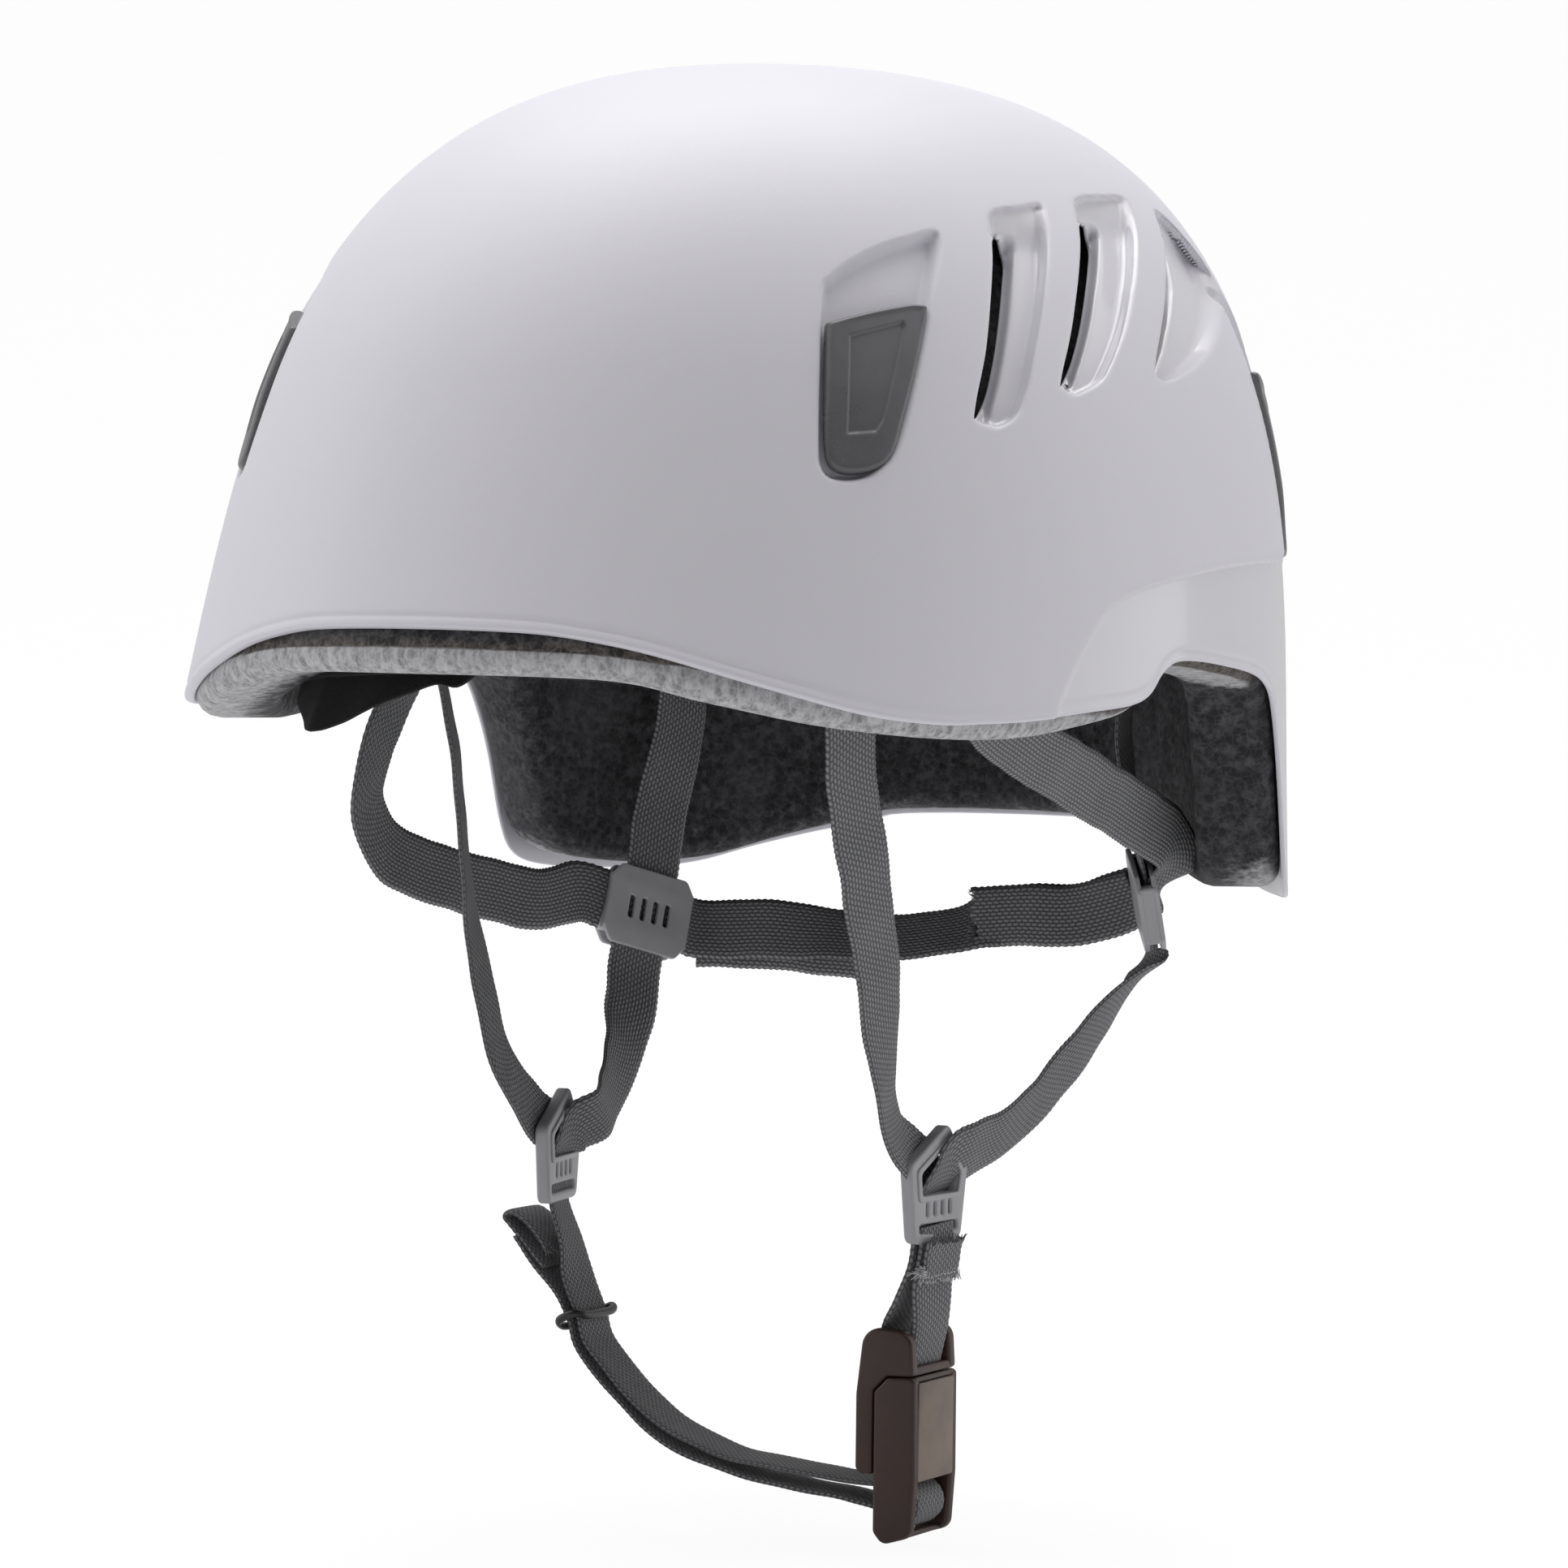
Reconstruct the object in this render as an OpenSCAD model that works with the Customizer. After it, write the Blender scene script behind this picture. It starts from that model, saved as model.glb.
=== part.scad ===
// Climbing helmet: hard shell on a foam liner, four headlamp clips, a webbing harness with a
// nape cradle, and a chin strap with a sideways-sliding magnetic buckle.
// The front faces -Y, the wearer's left is +X and +Z is up. The origin is on the head's centre
// line, in the middle of the head opening, at the widest level of the shell.

/* [Shell] */
// Half of the shell's width
shell_half_w = 113.4; // [106:0.1:121]
// Reach of the shell from the origin to the front
shell_front = 148.8; // [140:0.1:157]
// Reach of the shell from the origin to the rear
shell_rear = 148.7; // [140:0.1:157]
// Height of the crown above the origin
crown_h = 155; // [148:0.5:162]
// Thickness of the shell's wall
shell_wall = 2.4; // [2:0.1:3]
// How far the brow flares out
brow_flare = 15.1; // [10:0.1:18]

/* [Liner and pads] */
// Thickness of the foam liner
liner_t = 19; // [16:0.5:21]
// Thickness of the brow pad
brow_pad_t = 6; // [4:0.5:7]
// Thickness of the crown pads
crown_pad_t = 5; // [3:0.5:6]

/* [Vents and clips] */
// Depth of a vent's scoop at its front edge
vent_depth = 8.5; // [6:0.5:10]
// Depth of the pocket that a headlamp clip sits in
clip_pocket = 3.6; // [3:0.1:4.4]
// How far a headlamp clip stands out from the shell
clip_proud = 1.3; // [0.6:0.1:2]

/* [Webbing] */
// Width of the webbing
web_w = 15; // [14:0.5:16]
// Thickness of the webbing
web_t = 1.3; // [1:0.1:1.5]

/* [Chin hardware] */
// Thickness of a strap divider
divider_t = 3.2; // [2.6:0.1:3.6]
// Width of the buckle
buckle_w = 21.6; // [21:0.2:24]
// Thickness of the buckle's rear half
buckle_rear_t = 4.6; // [4.2:0.1:5]
// Thickness of the buckle's front half
buckle_front_t = 8.4; // [8:0.1:9]
// Diameter of a buckle magnet
magnet_d = 8; // [6:0.5:9]

/* [Hidden] */

// Exponents of the superellipses that shape the dome
plan_power = 2.095;
dome_power = 2.666;
front_power = 2.445;
side_power = 2.461;
rear_power = 3.249;
// The dome's upper part leans back by this much at the crown
crown_shift = 10.6;
// The walls flare below this height
flare_top = 80;
side_flare = 1.8;
rear_flare = -1.75;
// Lowest level that the dome is built to before its rim is cut
dome_low = -42;
dome_columns = 84;
dome_rows = 15;
// Gap that keeps neighbouring solids apart
gap = 0.2;
liner_inset = shell_wall + gap;
// Room between the liner and the pads, for the hook patches
pad_gap = 2;
pad_inset = liner_inset + liner_t + pad_gap;

// Rim of the shell in side view, as [y, z]
SHELL_RIM = [[-220, 26], [-175, 26], [-155, 25], [-146.5, 22.3], [-132, 15], [-114, 9.1], [-98, 6.7],
             [-86, 6.4], [-72, 6.9], [-55, 8.4], [-38, 9.8], [-30, 12], [-24, 16.6], [-17, 19.2],
             [-6, 19.4], [10, 18.2], [27, 16.5], [38, 14.2], [45, 10.5], [50, 2.5],
             [54.6, -9], [59.5, -26], [64, -33.5], [73, -36.5], [90, -37.5], [108, -36.5],
             [122, -31.5], [136, -26], [148, -22.5], [220, -21]];
// Lower edge of the foam in side view, as [y, z]
FOAM_RIM = [[-220, 16], [-175, 16], [-150, 15.5], [-138, 11], [-122, 6], [-104, 3.4], [-86, 2.8],
            [-70, 3.6], [-54, 5.4], [-38, 7.8], [-30, 11], [-24, 16], [-17, 18.4], [-6, 18.6],
            [10, 17.4], [27, 15.7], [38, 13.4], [46, 9.6], [51.5, 2], [56, -9],
            [61, -24.5], [66, -30.5], [75, -33.5], [90, -34.8], [108, -33.5], [122, -29],
            [136, -23.8], [148, -20.4], [220, -19]];

// Vents on the left side, each as rows of [front angle, front z, rear angle, rear z]
VENTS = [
    [[57.2, 70.5, 62.6, 71.5], [58.2, 82, 65.4, 83], [60.2, 97, 68.8, 97.5],
     [62.6, 112.5, 73, 117.5]],
    [[69, 78, 74.4, 79.3], [70.6, 90, 80, 89.5], [73.6, 102, 86.5, 104],
     [79, 117.5, 96.4, 122.5]],
    [[85.2, 83.2, 91, 83.8], [88.2, 95, 101.5, 90.5], [93.4, 105, 111.5, 99],
     [101.6, 117.5, 121, 111.5]]];
// Share of a vent's width that is open right through
slot_share = 0.36;

// Clip pocket and clip on the left front side, as rows of [z, front angle, rear angle]
FRONT_POCKET = [[56.8, 41.6, 45.4], [60, 39.9, 47.2], [68, 39.9, 49.1], [82, 39.9, 51],
                [97, 40, 53.1], [104, 43, 54.1], [110.6, 50.2, 55]];
FRONT_CLIP = [[58.8, 42, 45.2], [61.6, 40.6, 46.8], [69, 40.6, 48.5], [82, 40.6, 50.3],
              [91.5, 40.7, 51.7]];
REAR_POCKET = [[41.5, 122.6, 126.4], [44.7, 120.8, 128.1], [52.7, 118.9, 128.1],
               [66.7, 117, 128.1], [81.7, 114.9, 128], [88.7, 113.9, 125], [95.3, 113, 117.8]];
REAR_CLIP = [[43.5, 122.8, 126], [46.3, 121.2, 127.4], [53.7, 119.5, 127.4],
             [66.7, 117.7, 127.4], [76.2, 116.3, 127.3]];

// Nape sliders: centre, turn about +Z and lean about +X
LEFT_SLIDER = [62.5, 78.5, -38.5];
RIGHT_SLIDER = [-63.5, 57, -46];
slider_turn = 30;
left_lean = 22;
right_lean = -18;
slider_size = [7.6, 24, 20];

// Directions up along a leaning slider and across it
function lean_up(lean) = [0, -sin(lean), cos(lean)];
function lean_side(lean, turn) = [-sin(turn), cos(turn) * cos(lean), cos(turn) * sin(lean)];
LEFT_UP = lean_up(left_lean);
RIGHT_UP = lean_up(right_lean);
LEFT_SIDE = lean_side(left_lean, slider_turn);
RIGHT_SIDE = lean_side(right_lean, -slider_turn);
LEFT_OUT = cross(LEFT_SIDE, LEFT_UP);

// Chin hardware
divider_x = 47;
divider_y = -1.4;
left_divider_z = -101;
right_divider_x = -51;
right_divider_z = -98;
// Line, parallel to X, that the chin tab and the chin strap swing about
swing_y = -1.4;
swing_z = -109.5;
buckle_y = 2.2;
buckle_split = 37.4;
buckle_top = -136;
buckle_low = -185.4;
// The buckle's rear half steps forward above this distance from the swing line
step_reach = 36.4;
magnet_z = -159;
// Bar that the chin strap folds round, in the front half
bar_x = 41.2;
bar_z = -177;
bar_d = 3.2;
window_low = -182.4;
window_top = -171.8;
// Face plate on the front half
plate_w = 16.6;
plate_h = 22.6;
plate_low = -171.2;

// Straps: rows of [centre point, direction of the webbing's width]
LEFT_FRONT = [[[64, -78, 30], [0.35, 0.94, 0]], [[63.6, -78, 14], [0.35, 0.94, 0]],
              [[60.5, -72, -4], [0.35, 0.94, 0]], [[58, -61, -23], [0.3, 0.95, 0]],
              [[55, -49.2, -41.3], [0.2, 0.98, 0]], [[51.6, -38, -60], [0.1, 0.98, 0.1]],
              [[47.6, -26, -77.2], [0, 1, 0.3]], [[44.4, -15, -88.5], [0, 1, 0.6]],
              [[44.2, -6, -94.5], [0, 1, 1]]];
LEFT_REAR = [[[66, 62, 30], [0.3, -1, 0]], [[64.6, 62, 14], [0.2, -1, 0]],
             [[63.3, 63, 0], [0.3, -0.9, -0.2]], [LEFT_SLIDER + 24 * LEFT_UP, -LEFT_SIDE],
             [LEFT_SLIDER + 13 * LEFT_UP, -LEFT_SIDE], [LEFT_SLIDER, -LEFT_SIDE],
             [LEFT_SLIDER - 14 * LEFT_UP, -LEFT_SIDE],
             [[61.6, 74.5, -58.5], [0.4, -0.8, 0.1]], [[58.6, 62, -65.5], [0.3, -0.9, 0.6]],
             [[54.6, 50, -75], [0.1, -1, 0.9]], [[50.4, 38.7, -85.5], [0, -1, 1.2]],
             [[44.4, 22, -93.5], [0, -1, 1.6]], [[42.4, 8, -96], [0, -1, 3]]];
RIGHT_FRONT = [[[-66, -52, 32], [0.45, -0.9, 0]], [[-61, -45, 14], [0.45, -0.9, 0]],
               [[-58.5, -43, -1], [0.5, -0.87, 0]], [[-57.5, -40, -18], [0.5, -0.87, 0]],
               [[-57, -38, -34], [0.4, -0.9, 0]], [[-56, -33, -56], [0.2, -0.95, 0]],
               [[-53.4, -26, -75], [0.1, -1, -0.2]], [[-49, -15, -86.5], [0, -1, -0.6]],
               [[-48.2, -7, -91.5], [0, -1, -1]]];
RIGHT_REAR = [[[-65, 70, 30], [0.3, 1, 0]], [[-62.6, 72, 14], [0.3, 1, 0]],
              [[-61.5, 71, 2], [0.4, 0.9, 0]], [RIGHT_SLIDER + 28 * RIGHT_UP, RIGHT_SIDE],
              [RIGHT_SLIDER + 13 * RIGHT_UP, RIGHT_SIDE], [RIGHT_SLIDER, RIGHT_SIDE],
              [RIGHT_SLIDER - 14 * RIGHT_UP, RIGHT_SIDE],
              [[-62, 48, -69], [0.3, 0.9, -0.4]], [[-58.6, 37, -80], [0.1, 1, -0.8]],
              [[-53, 22, -88], [0, 1, -1.2]], [[-46.6, 9, -91.5], [0, 1, -2.4]]];
NAPE = [[LEFT_SLIDER + 13.4 * LEFT_SIDE - 2 * LEFT_UP, LEFT_UP],
        [LEFT_SLIDER + 17 * LEFT_SIDE - 2.4 * LEFT_UP, LEFT_UP],
        [[40, 92, -41], [0, 0, 1]],
        [[20, 85.5, -45], [0.1, 0, 1]], [[8, 83, -49.5], [0.2, 0, 1]],
        [[-6, 81, -51.5], [0, 0, 1]], [[-20, 79.6, -50.5], [0, 0, 1]],
        [[-38, 74.4, -50], [0, 0, 1]],
        [RIGHT_SLIDER + 17 * RIGHT_SIDE, RIGHT_UP], [RIGHT_SLIDER + 12.8 * RIGHT_SIDE, RIGHT_UP]];
LEFT_BAND = [[[80, -38, 5], [0, 0.2, 1]], [[79.5, -14, -3.6], [0, 0.25, 1]],
             [[77, 18, -11], [0, 0.2, 1]], [[74.6, 44, -16.4], [0, 0.2, 1]],
             [[73.2, 61, -20.4], [-0.1, 0.35, 1]], [[72, 73, -24], [-0.3, 0.75, 0.8]],
             [LEFT_SLIDER + 6.2 * LEFT_OUT + 9 * LEFT_UP, LEFT_SIDE]];
RIGHT_BAND = [[[-77.4, -37, 7], [0, -1, 0.1]], [[-80, -41, -4], [0, -1, 0]],
              [[-83, -40, -17], [0, -1, -0.4]], [[-85, -29, -28], [0, -1, -1.3]],
              [[-84, -14, -33.8], [0, -0.4, -1]], [[-80, 9, -39], [0, -0.2, -1]],
              [[-76, 26, -42], [0, -0.2, -1]],
              [RIGHT_SLIDER - 20 * RIGHT_SIDE, -RIGHT_UP],
              [RIGHT_SLIDER - 13.6 * RIGHT_SIDE, -RIGHT_UP]];
TAB_FRONT = [[[50, swing_y, swing_z + 1.5], [0, 1, 0]],
             [[50, swing_y, swing_z - 10.5], [0, 1, 0]],
             [[46.4, 0, -126], [0, 1, 0]], [[43.4, 1.6, -134], [0, 1, 0]]];
TAB_REAR = [[[44, swing_y, swing_z + 1.5], [0, 1, 0]],
            [[43.4, swing_y, swing_z - 10.5], [0, 1, 0]],
            [[43.8, 0, -126], [0, 1, 0]], [[42, 1.6, -134], [0, 1, 0]]];
// Ring round the chin strap: centre and lean about +Y
RING = [-43.9, -2, -138.4];
ring_lean = -26;
RING_UP = [sin(ring_lean), 0, cos(ring_lean)];
RING_OUT = [cos(ring_lean), 0, -sin(ring_lean)];
layer_gap = 3.3;
fold_r = bar_d / 2 + 0.4 + web_t / 2;
CHIN = [[[-48, swing_y, swing_z + 1.5], [0, 1, 0]],
        [[-48, swing_y, swing_z - 10.5], [0, 1, 0]],
        [RING + layer_gap / 2 * RING_OUT + 9 * RING_UP, [0, 1, 0]],
        [RING + layer_gap / 2 * RING_OUT, [0, 1, 0]],
        [RING + layer_gap / 2 * RING_OUT - 9 * RING_UP, [0, 1, 0]],
        [[-22, -1, -160], [0, 1, 0]], [[-5, 0, -167], [0, 1, 0]],
        [[12, 1, -170.4], [0, 1, 0]], [[25, 2, -172.4], [0, 1, 0]],
        [[34, buckle_y, -174], [0, 1, 0]],
        for (turn = [0:45:180])
            [[bar_x + fold_r * sin(turn), buckle_y, bar_z + fold_r * cos(turn)], [0, 1, 0]],
        [[34, buckle_y, -178.9], [0, 1, 0]], [[25, 2, -176.8], [0, 1, 0]],
        [[12, 1, -174.8], [0, 1, 0]], [[-6, 0, -171.2], [0, 1, 0]],
        [[-24, -1, -163.6], [0, 1, 0]],
        [RING - layer_gap / 2 * RING_OUT - 9 * RING_UP, [0, 1, 0]],
        [RING - layer_gap / 2 * RING_OUT, [0, 1, 0]],
        [RING - layer_gap / 2 * RING_OUT + 9 * RING_UP, [0, 1, 0]],
        [[-57.5, -2.5, -124.6], [0, 1, 0]], [[-65.5, -3, -119], [0, 1, 0]]];

SHELL_WHITE = [0.9, 0.9, 0.93];
FOAM_GREY = [0.2, 0.2, 0.21];
CLIP_GREY = [0.34, 0.34, 0.35];
WEB_GREY = [0.4, 0.4, 0.41];
HARDWARE_GREY = [0.56, 0.56, 0.58];
BUCKLE_BROWN = [0.2, 0.16, 0.15];
PLATE_TAUPE = [0.36, 0.31, 0.29];
PAD_BLACK = [0.09, 0.09, 0.1];
METAL = [0.7, 0.7, 0.72];

function mix(a, b, t) = a + (b - a) * t;
function unit(v) = v / norm(v);
function front_share(a) = pow(max(cos(a), 0), 2);
function rear_share(a) = pow(max(-cos(a), 0), 2);
function around(a, front, side, rear) =
    side + (front - side) * front_share(a) + (rear - side) * rear_share(a);

// Point on the dome at angle a (0 at the front, 90 at the left) and height z, moved in by inset
function dome(a, z, inset = 0) =
    let (t = min(max(z / (crown_h - inset), 0), 1),
         p = around(a, front_power, side_power, rear_power),
         rho = pow(max(0, 1 - pow(t, p)), 1 / dome_power),
         low = pow(max(0, 1 - z / flare_top), 2),
         flare = around(a, brow_flare, side_flare, rear_flare) * low,
         n = plan_power,
         r = pow(pow(abs(cos(a)), n) + pow(abs(sin(a)), n), -1 / n),
         reach = (cos(a) > 0 ? shell_front : shell_rear) - inset)
    [((shell_half_w - inset) * rho + flare) * sin(a) * r,
     -(reach * rho + flare) * cos(a) * r + crown_shift * t * t,
     z];

// Outward normal of the dome, and a point a given distance out along it
function dome_normal(a, z) =
    let (da = dome(a + 0.5, z) - dome(a - 0.5, z), dz = dome(a, z + 0.5) - dome(a, z - 0.5))
    unit(cross(da, dz));
function off_dome(a, z, out) = dome(a, z) + out * dome_normal(a, z);

// Smooth curve through rows of equal shape, sampled in steps between each pair
function curve_value(p, i, t) =
    let (a = p[max(i - 1, 0)], b = p[i], c = p[i + 1], d = p[min(i + 2, len(p) - 1)])
    0.5 * (2 * b + (c - a) * t + (2 * a - 5 * b + 4 * c - d) * t * t
           + (3 * b - a - 3 * c + d) * t * t * t);
function curve(p, steps) =
    [for (i = [0:len(p) - 2], k = [0:steps - 1]) curve_value(p, i, k / steps), p[len(p) - 1]];

// Closed slab between two grids of points that have the same rows and columns
module slab(top, bottom) {
    rows = len(top);
    cols = len(top[0]);
    n = rows * cols;
    points = [for (r = top, p = r) p, for (r = bottom, p = r) p];
    quads = [
        for (i = [0:rows - 2], j = [0:cols - 2])
            [i * cols + j, i * cols + j + 1, (i + 1) * cols + j + 1, (i + 1) * cols + j],
        for (i = [0:rows - 2], j = [0:cols - 2])
            [n + i * cols + j, n + (i + 1) * cols + j, n + (i + 1) * cols + j + 1,
             n + i * cols + j + 1],
        for (i = [0:rows - 2])
            [i * cols, (i + 1) * cols, n + (i + 1) * cols, n + i * cols],
        for (i = [0:rows - 2])
            [(i + 1) * cols - 1, n + (i + 1) * cols - 1, n + (i + 2) * cols - 1,
             (i + 2) * cols - 1],
        for (j = [0:cols - 2]) [j, n + j, n + j + 1, j + 1],
        for (j = [0:cols - 2])
            [(rows - 1) * cols + j, (rows - 1) * cols + j + 1, n + (rows - 1) * cols + j + 1,
             n + (rows - 1) * cols + j]
    ];
    faces = [for (q = quads) each [[q[0], q[1], q[2]], [q[0], q[2], q[3]]]];
    polyhedron(points = points, faces = faces, convexity = 6);
}

// Flat webbing along a smooth curve through the rows of [point, width direction]
module webbing(rows, steps = 3, thick = web_t) {
    path = curve([for (r = rows) r[0]], steps);
    hint = curve([for (r = rows) r[1]], steps);
    last = len(path) - 1;
    frames = [for (i = [0:last])
        let (along = unit(path[min(i + 1, last)] - path[max(i - 1, 0)]),
             side = unit(hint[i] - (hint[i] * along) * along))
        [path[i], side, cross(along, side)]];
    top = [for (f = frames) [for (s = [-0.5, 0.5]) f[0] + s * web_w * f[1] + thick / 2 * f[2]]];
    low = [for (f = frames) [for (s = [-0.5, 0.5]) f[0] + s * web_w * f[1] - thick / 2 * f[2]]];
    slab(top, low);
}

// Solid dome down to dome_low, its surface moved in by inset
module dome_solid(inset) {
    h = crown_h - inset;
    low_turn = asin(dome_low / h);
    levels = [for (k = [0:dome_rows - 1]) h * sin(mix(low_turn, 90, k / dome_rows))];
    ring = [for (j = [0:dome_columns - 1]) 360 * j / dome_columns];
    body = [for (z = levels, a = ring) dome(a, z, inset)];
    points = concat(body, [[0, crown_shift, h]]);
    m = dome_columns;
    top = dome_rows * m;
    faces = [
        for (k = [0:dome_rows - 2], j = [0:m - 1])
            [k * m + j, (k + 1) * m + j, (k + 1) * m + (j + 1) % m, k * m + (j + 1) % m],
        for (j = [0:m - 1]) [(dome_rows - 1) * m + j, top, (dome_rows - 1) * m + (j + 1) % m],
        [for (j = [0:m - 1]) j]
    ];
    polyhedron(points = points, faces = faces, convexity = 4);
}

// Everything below a rim that is given in side view
module below(rim) {
    edge = curve(rim, 2);
    outline = concat(edge, [[220, -90], [-220, -90]]);
    rotate([90, 0, 90])
        translate([0, 0, -150])
            linear_extrude(300)
                polygon(outline);
}

// Convex block between two neighbouring rows of four points
module block(row_a, row_b) {
    hull()
        polyhedron(points = concat(row_a, row_b),
                   faces = [[0, 1, 2, 3], [7, 6, 5, 4], [0, 4, 5, 1], [1, 5, 6, 2],
                            [2, 6, 7, 3], [3, 7, 4, 0]]);
}

// Scoop of a vent: grow widens it, sink deepens it, and out is how far it stands out
module vent_scoop(vent, grow, sink, out) {
    last = len(vent) - 1;
    rows = [for (i = [0:last])
        let (v = vent[i], lift = i == 0 ? -grow * 1.8 : (i == last ? grow * 1.8 : 0))
        [off_dome(v[0] - grow, v[1] + lift, out), off_dome(v[2] + grow, v[3] + lift, out),
         off_dome(v[2] + grow, v[3] + lift, -0.4 - sink),
         off_dome(v[0] - grow, v[1] + lift, -vent_depth - sink)]];
    for (i = [0:last - 1]) block(rows[i], rows[i + 1]);
}

// Open slot of a vent, along its front edge
module vent_slot(vent, grow) {
    last = len(vent) - 1;
    rows = [for (i = [0:last])
        let (v = vent[i], end = i == 0 ? 1.5 : (i == last ? -3 : 0),
             a = v[0] + 0.3 - grow, z = v[1] + end,
             b = mix(v[0], v[2], slot_share) + grow, zb = mix(v[1], v[3], slot_share) + end)
        [off_dome(a, z, 4), off_dome(b, zb, 4), off_dome(b, zb, -34), off_dome(a, z, -34)]];
    for (i = [0:last - 1]) block(rows[i], rows[i + 1]);
}

// Pocket that a clip sits in
module clip_hollow(pocket, grow, sink, out) {
    last = len(pocket) - 1;
    rows = [for (i = [0:last])
        let (p = pocket[i], lift = i == 0 ? -grow * 1.8 : (i == last ? grow * 1.8 : 0),
             z = p[0] + lift)
        [off_dome(p[1] - grow, z, out), off_dome(p[2] + grow, z, out),
         off_dome(p[2] + grow, z, -sink), off_dome(p[1] - grow, z, -sink)]];
    for (i = [0:last - 1]) block(rows[i], rows[i + 1]);
}

module both_sides() {
    children();
    mirror([1, 0, 0]) children();
}

// All vents and clip pockets on both sides
module shell_hollows(grow, sink, out) {
    both_sides() {
        for (v = VENTS) vent_scoop(v, grow, sink, out);
        clip_hollow(FRONT_POCKET, grow, clip_pocket + sink, out);
        clip_hollow(REAR_POCKET, grow, clip_pocket + sink, out);
    }
}

module outer_shell() {
    color(SHELL_WHITE)
        difference() {
            union() {
                difference() {
                    dome_solid(0);
                    dome_solid(shell_wall);
                }
                intersection() {
                    dome_solid(0);
                    shell_hollows(1.1, shell_wall * 0.75, 3);
                }
            }
            shell_hollows(0, 0, 6);
            both_sides() for (v = VENTS) vent_slot(v, 0);
            below(SHELL_RIM);
        }
}

module foam_liner() {
    color(FOAM_GREY)
        difference() {
            dome_solid(liner_inset);
            dome_solid(liner_inset + liner_t);
            shell_hollows(1.4, shell_wall * 0.75 + 0.6, 3);
            both_sides() for (v = VENTS) vent_slot(v, 0.2);
            below(FOAM_RIM);
        }
}

// Headlamp clip: a tongue in its pocket, free at the top
module clip(rows) {
    steps = 4;
    levels = curve(rows, 2);
    floor_gap = 0.9;
    face = [for (r = levels)
        [for (k = [0:steps]) off_dome(mix(r[1], r[2], k / steps), r[0], clip_proud)]];
    back = [for (r = levels)
        [for (k = [0:steps]) off_dome(mix(r[1], r[2], k / steps), r[0], floor_gap - clip_pocket)]];
    color(CLIP_GREY) slab(back, face);
}

module front_left_clip() { clip(FRONT_CLIP); }
module front_right_clip() { mirror([1, 0, 0]) clip(FRONT_CLIP); }
module rear_left_clip() { clip(REAR_CLIP); }
module rear_right_clip() { mirror([1, 0, 0]) clip(REAR_CLIP); }

// Lower edge of the brow pad, which drops towards the ears
function brow_low(a) = mix(6, 18, front_share(a));

module brow_pad() {
    half_deg = 86;
    cols = 36;
    high = 18.4;
    grid = [for (k = [0:3]) [for (j = [0:cols])
        let (a = mix(-half_deg, half_deg, j / cols)) [a, brow_low(a) + high * k / 3]]];
    outer = [for (row = grid) [for (p = row) dome(p[0], p[1], pad_inset)]];
    inner = [for (row = grid) [for (p = row) dome(p[0], p[1], pad_inset + brow_pad_t)]];
    color(PAD_BLACK) slab(inner, outer);
}

// Four bar pads high on the inside of the liner
module crown_pads() {
    half_deg = 14;
    low = 84;
    high = 34;
    for (a = [0, 90, 180, 270]) {
        grid = [for (i = [0:6]) [for (j = [-2:2]) [a + half_deg * j / 2, low + high * i / 6]]];
        outer = [for (row = grid) [for (p = row) dome(p[0], p[1], pad_inset)]];
        inner = [for (row = grid) [for (p = row) dome(p[0], p[1], pad_inset + crown_pad_t)]];
        color(PAD_BLACK) slab(inner, outer);
    }
}

// Hook patches that hold the brow pad, between the pad and the liner
module hook_patches() {
    patch_r = 7;
    patch_t = 0.8;
    for (a = [-35, 0, 35]) {
        patch_z = brow_low(a) + 9;
        n = dome_normal(a, patch_z);
        color(PAD_BLACK)
            translate(dome(a, patch_z, liner_inset + liner_t + patch_t))
                rotate([0, acos(n[2]), atan2(n[1], n[0])])
                    translate([0, 0, -patch_t])
                        cylinder(h = patch_t, r = patch_r, $fn = 32);
    }
}

// Anchor lugs inside the liner, above each strap end
module strap_anchors() {
    lug = [18, 3.4, 9];
    for (strap = [LEFT_FRONT, LEFT_REAR, RIGHT_FRONT, RIGHT_REAR]) {
        top = strap[0][0];
        side = strap[0][1];
        color(HARDWARE_GREY)
            translate(top + [0, 0, lug[2] / 2 + 2.6])
                rotate([0, 0, atan2(side[1], side[0])])
                    cube(lug, center = true);
    }
}

module left_front_strap() { color(WEB_GREY) webbing(LEFT_FRONT); }
module left_rear_strap() { color(WEB_GREY) webbing(LEFT_REAR); }
module right_front_strap() { color(WEB_GREY) webbing(RIGHT_FRONT); }
module right_rear_strap() { color(WEB_GREY) webbing(RIGHT_REAR); }

// Five-sided divider plate: a window for the two upper straps, a slot for the lower one and
// a row of small relief slots
module divider_plate() {
    half_w = 12.8;
    top_z = 12.6;
    shoulder_z = 5;
    foot_half_w = 10;
    foot_z = -13.4;
    rotate([90, 0, 90])
        translate([0, 0, -divider_t / 2])
            linear_extrude(divider_t)
                difference() {
                    polygon([[4, top_z], [-half_w, shoulder_z], [-foot_half_w, foot_z],
                             [foot_half_w, foot_z], [half_w, shoulder_z - 2]]);
                    polygon([[3.4, 8.6], [-8.4, 3], [-7.6, -1.6], [7.6, -1.6], [8.6, 2.4]]);
                    for (k = [-1.5:1:1.5])
                        translate([k * 3.4, -5.3])
                            square([1.2, 3.6], center = true);
                    translate([0, -9.9])
                        square([16.4, 2.6], center = true);
                }
}

module left_divider() {
    color(HARDWARE_GREY)
        translate([divider_x, divider_y, left_divider_z])
            divider_plate();
}

module right_divider() {
    color(HARDWARE_GREY)
        translate([right_divider_x, divider_y, right_divider_z])
            divider_plate();
}

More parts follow.
